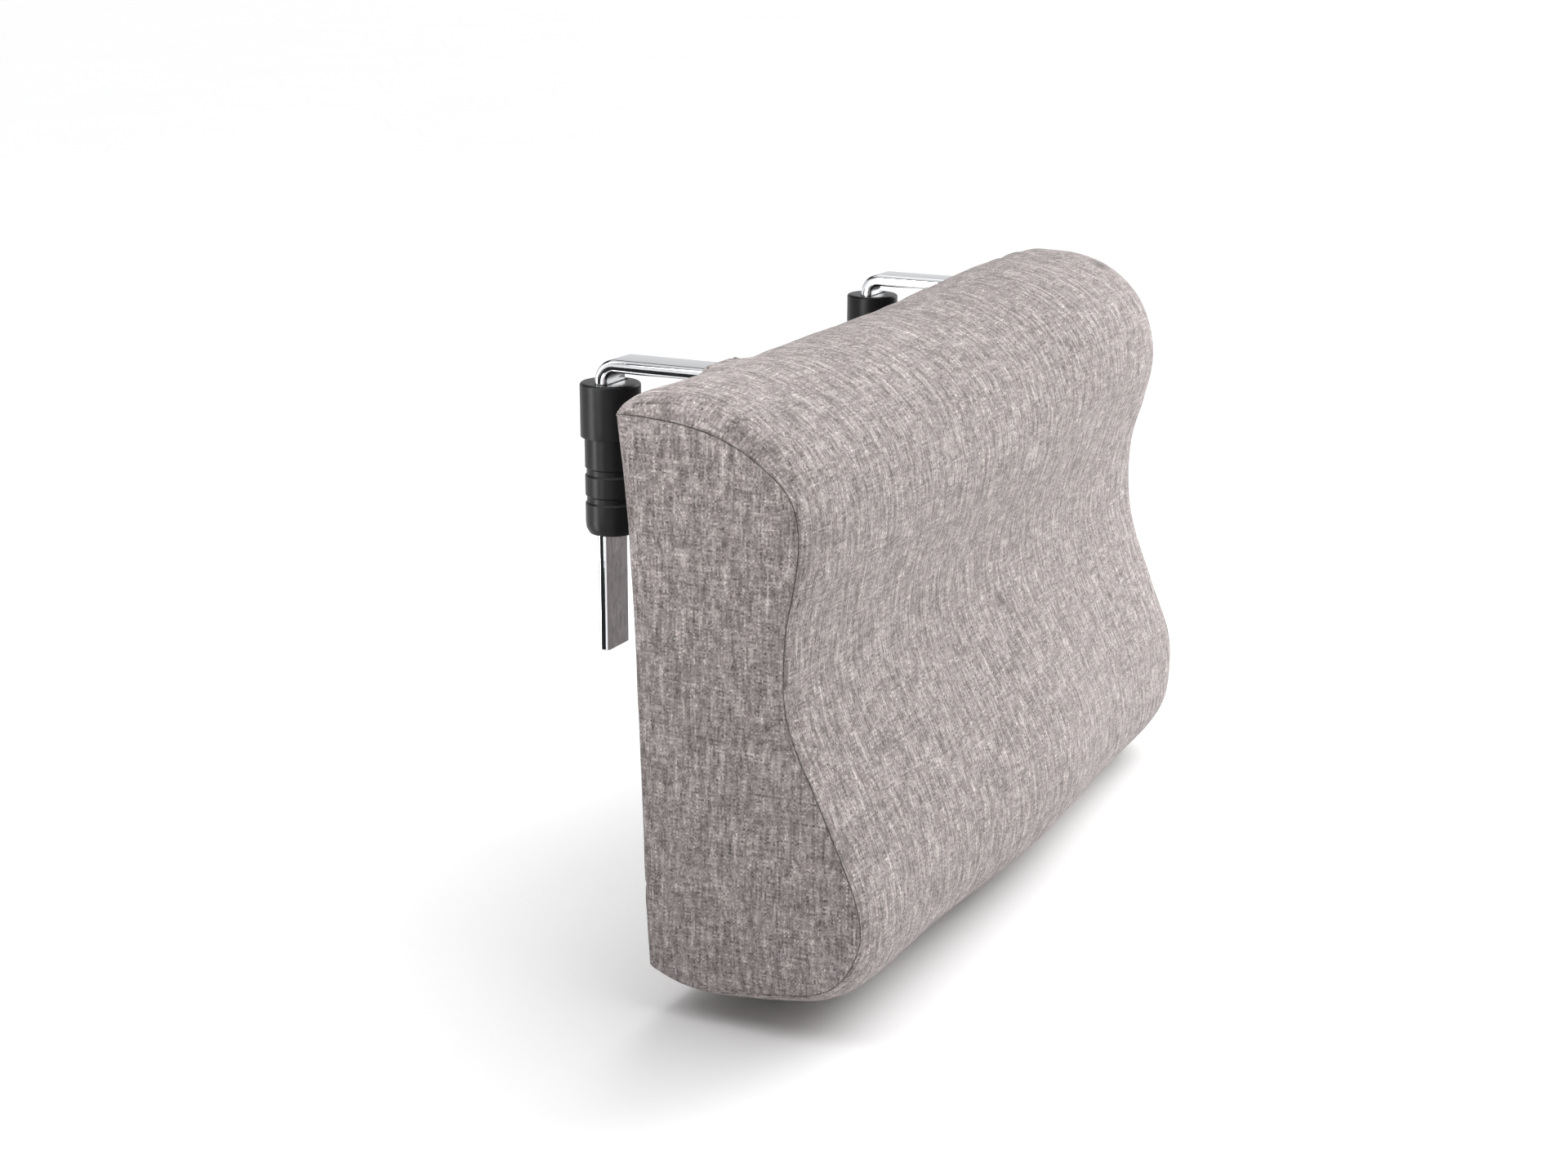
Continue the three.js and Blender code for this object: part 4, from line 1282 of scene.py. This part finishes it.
def make_topstitch():
    """A row of stitches above and below the zip."""
    runs = []
    arc_t = np.linspace(0, 1, 9)
    for v in (ZIP_S - 10.2, ZIP_S + 10.2):
        for x in np.arange(-199.0, 199.0, 3.7):
            pts = np.stack([x + arc_t * 3.1, -0.62 + 0.95 * np.sin(math.pi * arc_t) ** 0.6, np.full(9, v) + 0.05 * math.sin(x * 1.7)], 1)
            runs.append(on_back(pts))
    vs, fs = tubes(runs, 0.24, 6)
    ob = new_object("topstitch", np.array(vs) * MM, fs)
    recalc(ob)
    smooth(ob)
    paint(ob, M["thread"])
    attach(ob, "headrest")


def refined(node, name, body, mat, width=0.22):
    """A hard CAD piece with its edges rounded."""
    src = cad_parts[node]
    me = src.data.copy()
    me.transform(src.matrix_world)
    ob = bpy.data.objects.new(name, me)
    scene.collection.objects.link(ob)
    bm = bmesh.new()
    bm.from_mesh(me)
    bmesh.ops.remove_doubles(bm, verts=bm.verts, dist=1e-6)
    bmesh.ops.dissolve_limit(bm, angle_limit=math.radians(1.0), verts=bm.verts, edges=bm.edges)
    bm.to_mesh(me)
    bm.free()
    m = ob.modifiers.new("bevel", "BEVEL")
    m.width = width * MM
    m.segments = 3
    m.limit_method = "ANGLE"
    m.angle_limit = math.radians(28)
    m.use_clamp_overlap = True
    bake_modifiers(ob)
    smooth(ob, 40)
    paint(ob, mat)
    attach(ob, body)
    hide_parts(node)


make_coil()
make_topstitch()
refined("zip_slider", "slider_die_cast", "slider", M["nickel"])
refined("zip_pull", "pull_tab", "pull", M["nickel"])
refined("zip_stop_left", "stop_clip_left", "headrest", M["nickel"], 0.3)
refined("zip_stop_right", "stop_clip_right", "headrest", M["nickel"], 0.3)

# ------------------------------------------------- hidden hard parts from CAD
for name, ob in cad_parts.items():
    if name.startswith("arm_screw") or name.startswith("tee_nut"):
        paint_with = M["zinc"]
    elif name == "back_board":
        paint_with = M["wood"]
    elif name.startswith("zip_tape"):
        paint_with = M["tape"]
    else:
        continue
    if ob.material_slots:
        for sl in ob.material_slots:
            sl.material = paint_with
    else:
        ob.data.materials.append(paint_with)

# -------------------------------------------------------------------- studio
low = min(p[2] for p in [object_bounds()[0]])
floor_z = low - 0.0012
me = bpy.data.meshes.new("floor")
me.from_pydata([(-9, -9, floor_z), (9, -9, floor_z), (9, 9, floor_z), (-9, 9, floor_z)], [], [(0, 1, 2, 3)])
floor = bpy.data.objects.new("floor", me)
scene.collection.objects.link(floor)
floor.data.materials.append(floor_material())
floor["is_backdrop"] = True


def area(name, at, aim, size, power, colour=(1, 1, 1), size_y=None):
    data = bpy.data.lights.new(name, "AREA")
    data.energy = power
    data.color = colour
    data.shape = "RECTANGLE" if size_y else "SQUARE"
    data.size = size
    if size_y:
        data.size_y = size_y
    ob = bpy.data.objects.new(name, data)
    scene.collection.objects.link(ob)
    ob.location = at
    ob.rotation_euler = (Vector(aim) - Vector(at)).to_track_quat("-Z", "Y").to_euler()
    return ob


def sun(name, toward, strength, angle):
    """Even light from the direction toward, as wide as a big soft box."""
    data = bpy.data.lights.new(name, "SUN")
    data.energy = strength * math.pi
    data.angle = math.radians(angle)
    ob = bpy.data.objects.new(name, data)
    scene.collection.objects.link(ob)
    ob.rotation_euler = (-Vector(toward)).to_track_quat("-Z", "Y").to_euler()
    return ob


def card(name, corners, level):
    """A studio card that only shows in reflections: dark at level 0, a light panel above it."""
    me = bpy.data.meshes.new(name)
    me.from_pydata(corners, [], [(0, 1, 2, 3)])
    ob = bpy.data.objects.new(name, me)
    scene.collection.objects.link(ob)
    n = Nodes(name)
    n.put(n.bsdf.inputs["Base Color"], n.mix(n.noise(n.object_coords(), 3.0, 2, 0.5), (0.012, 0.012, 0.012), (0.02, 0.02, 0.02)))
    n.bsdf.inputs["Roughness"].default_value = 1.0
    n.bsdf.inputs["Specular IOR Level"].default_value = 0.0
    if level:
        n.bsdf.inputs["Emission Color"].default_value = (1, 1, 1, 1)
        n.bsdf.inputs["Emission Strength"].default_value = level
    me.materials.append(n.mat)
    ob.visible_camera = ob.visible_diffuse = ob.visible_shadow = ob.visible_transmission = False
    ob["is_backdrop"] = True
    return ob


aim = (0, -0.08, -0.08)
sun("overhead", (0.35, -0.35, 1.0), 0.65, 70)
sun("rim", (1.0, 0.1, 0.9), 0.30, 44)
area("right", (1.2, -0.8, 0.42), aim, 0.8, 15.5, size_y=1.0)
area("left_back", (-0.42, 0.02, 0.22), (-0.23, -0.10, 0.0), 0.20, 0.65, size_y=0.3).visible_camera = False
card("dark_card", [(-1.5, 0.05, floor_z + 0.004), (-0.40, 0.05, floor_z + 0.004), (-0.40, 1.0, floor_z + 0.004), (-1.5, 1.0, floor_z + 0.004)], 0)
for name, cx, cy, bx in (("strip_near", -0.744, 0.16, -0.145), ("strip_far", -0.32, 0.18, 0.145)):
    across = np.array([cy, -(cx - bx)]) / math.hypot(cx - bx, cy) * 0.028
    card(name, [(cx - across[0], cy - across[1], -0.22), (cx + across[0], cy + across[1], -0.22),
                (cx + across[0], cy + across[1], 0.28), (cx - across[0], cy - across[1], 0.28)], 13.0)

# white backdrop for the camera, even fill for the cloth, and bands for the chrome to mirror
world = bpy.data.worlds.new("world")
scene.world = world
world.use_nodes = True
wt = world.node_tree
bg = wt.nodes["Background"]
geo = wt.nodes.new("ShaderNodeTexCoord")
sepw = wt.nodes.new("ShaderNodeSeparateXYZ")
wt.links.new(geo.outputs["Generated"], sepw.inputs[0])
rampw = wt.nodes.new("ShaderNodeValToRGB")
wt.links.new(sepw.outputs[2], rampw.inputs[0])
els = rampw.color_ramp.elements
while len(els) < 6:
    els.new(0.5)
for el, (pos, v) in zip(els, ((0.0, 0.80), (0.36, 0.66), (0.42, 0.05), (0.70, 0.04), (0.78, 0.80), (1.0, 0.9))):
    el.position = pos
    el.color = (v, v, v * 1.01, 1)
lp = wt.nodes.new("ShaderNodeLightPath")


def world_mix(f, a, b):
    n = wt.nodes.new("ShaderNodeMix")
    n.data_type = "RGBA"
    wt.links.new(f, n.inputs[0])
    for s, v in ((n.inputs[6], a), (n.inputs[7], b)):
        if isinstance(v, float):
            s.default_value = (v, v, v, 1)
        else:
            wt.links.new(v, s)
    return n.outputs[2]


fill_light = world_mix(lp.outputs["Is Glossy Ray"], 0.28, rampw.outputs[0])
wt.links.new(world_mix(lp.outputs["Is Camera Ray"], fill_light, 1.05), bg.inputs["Color"])
bg.inputs["Strength"].default_value = 1.0

scene.view_settings.view_transform = "Standard"
scene.view_settings.look = "None"

bpy.context.view_layer.update()
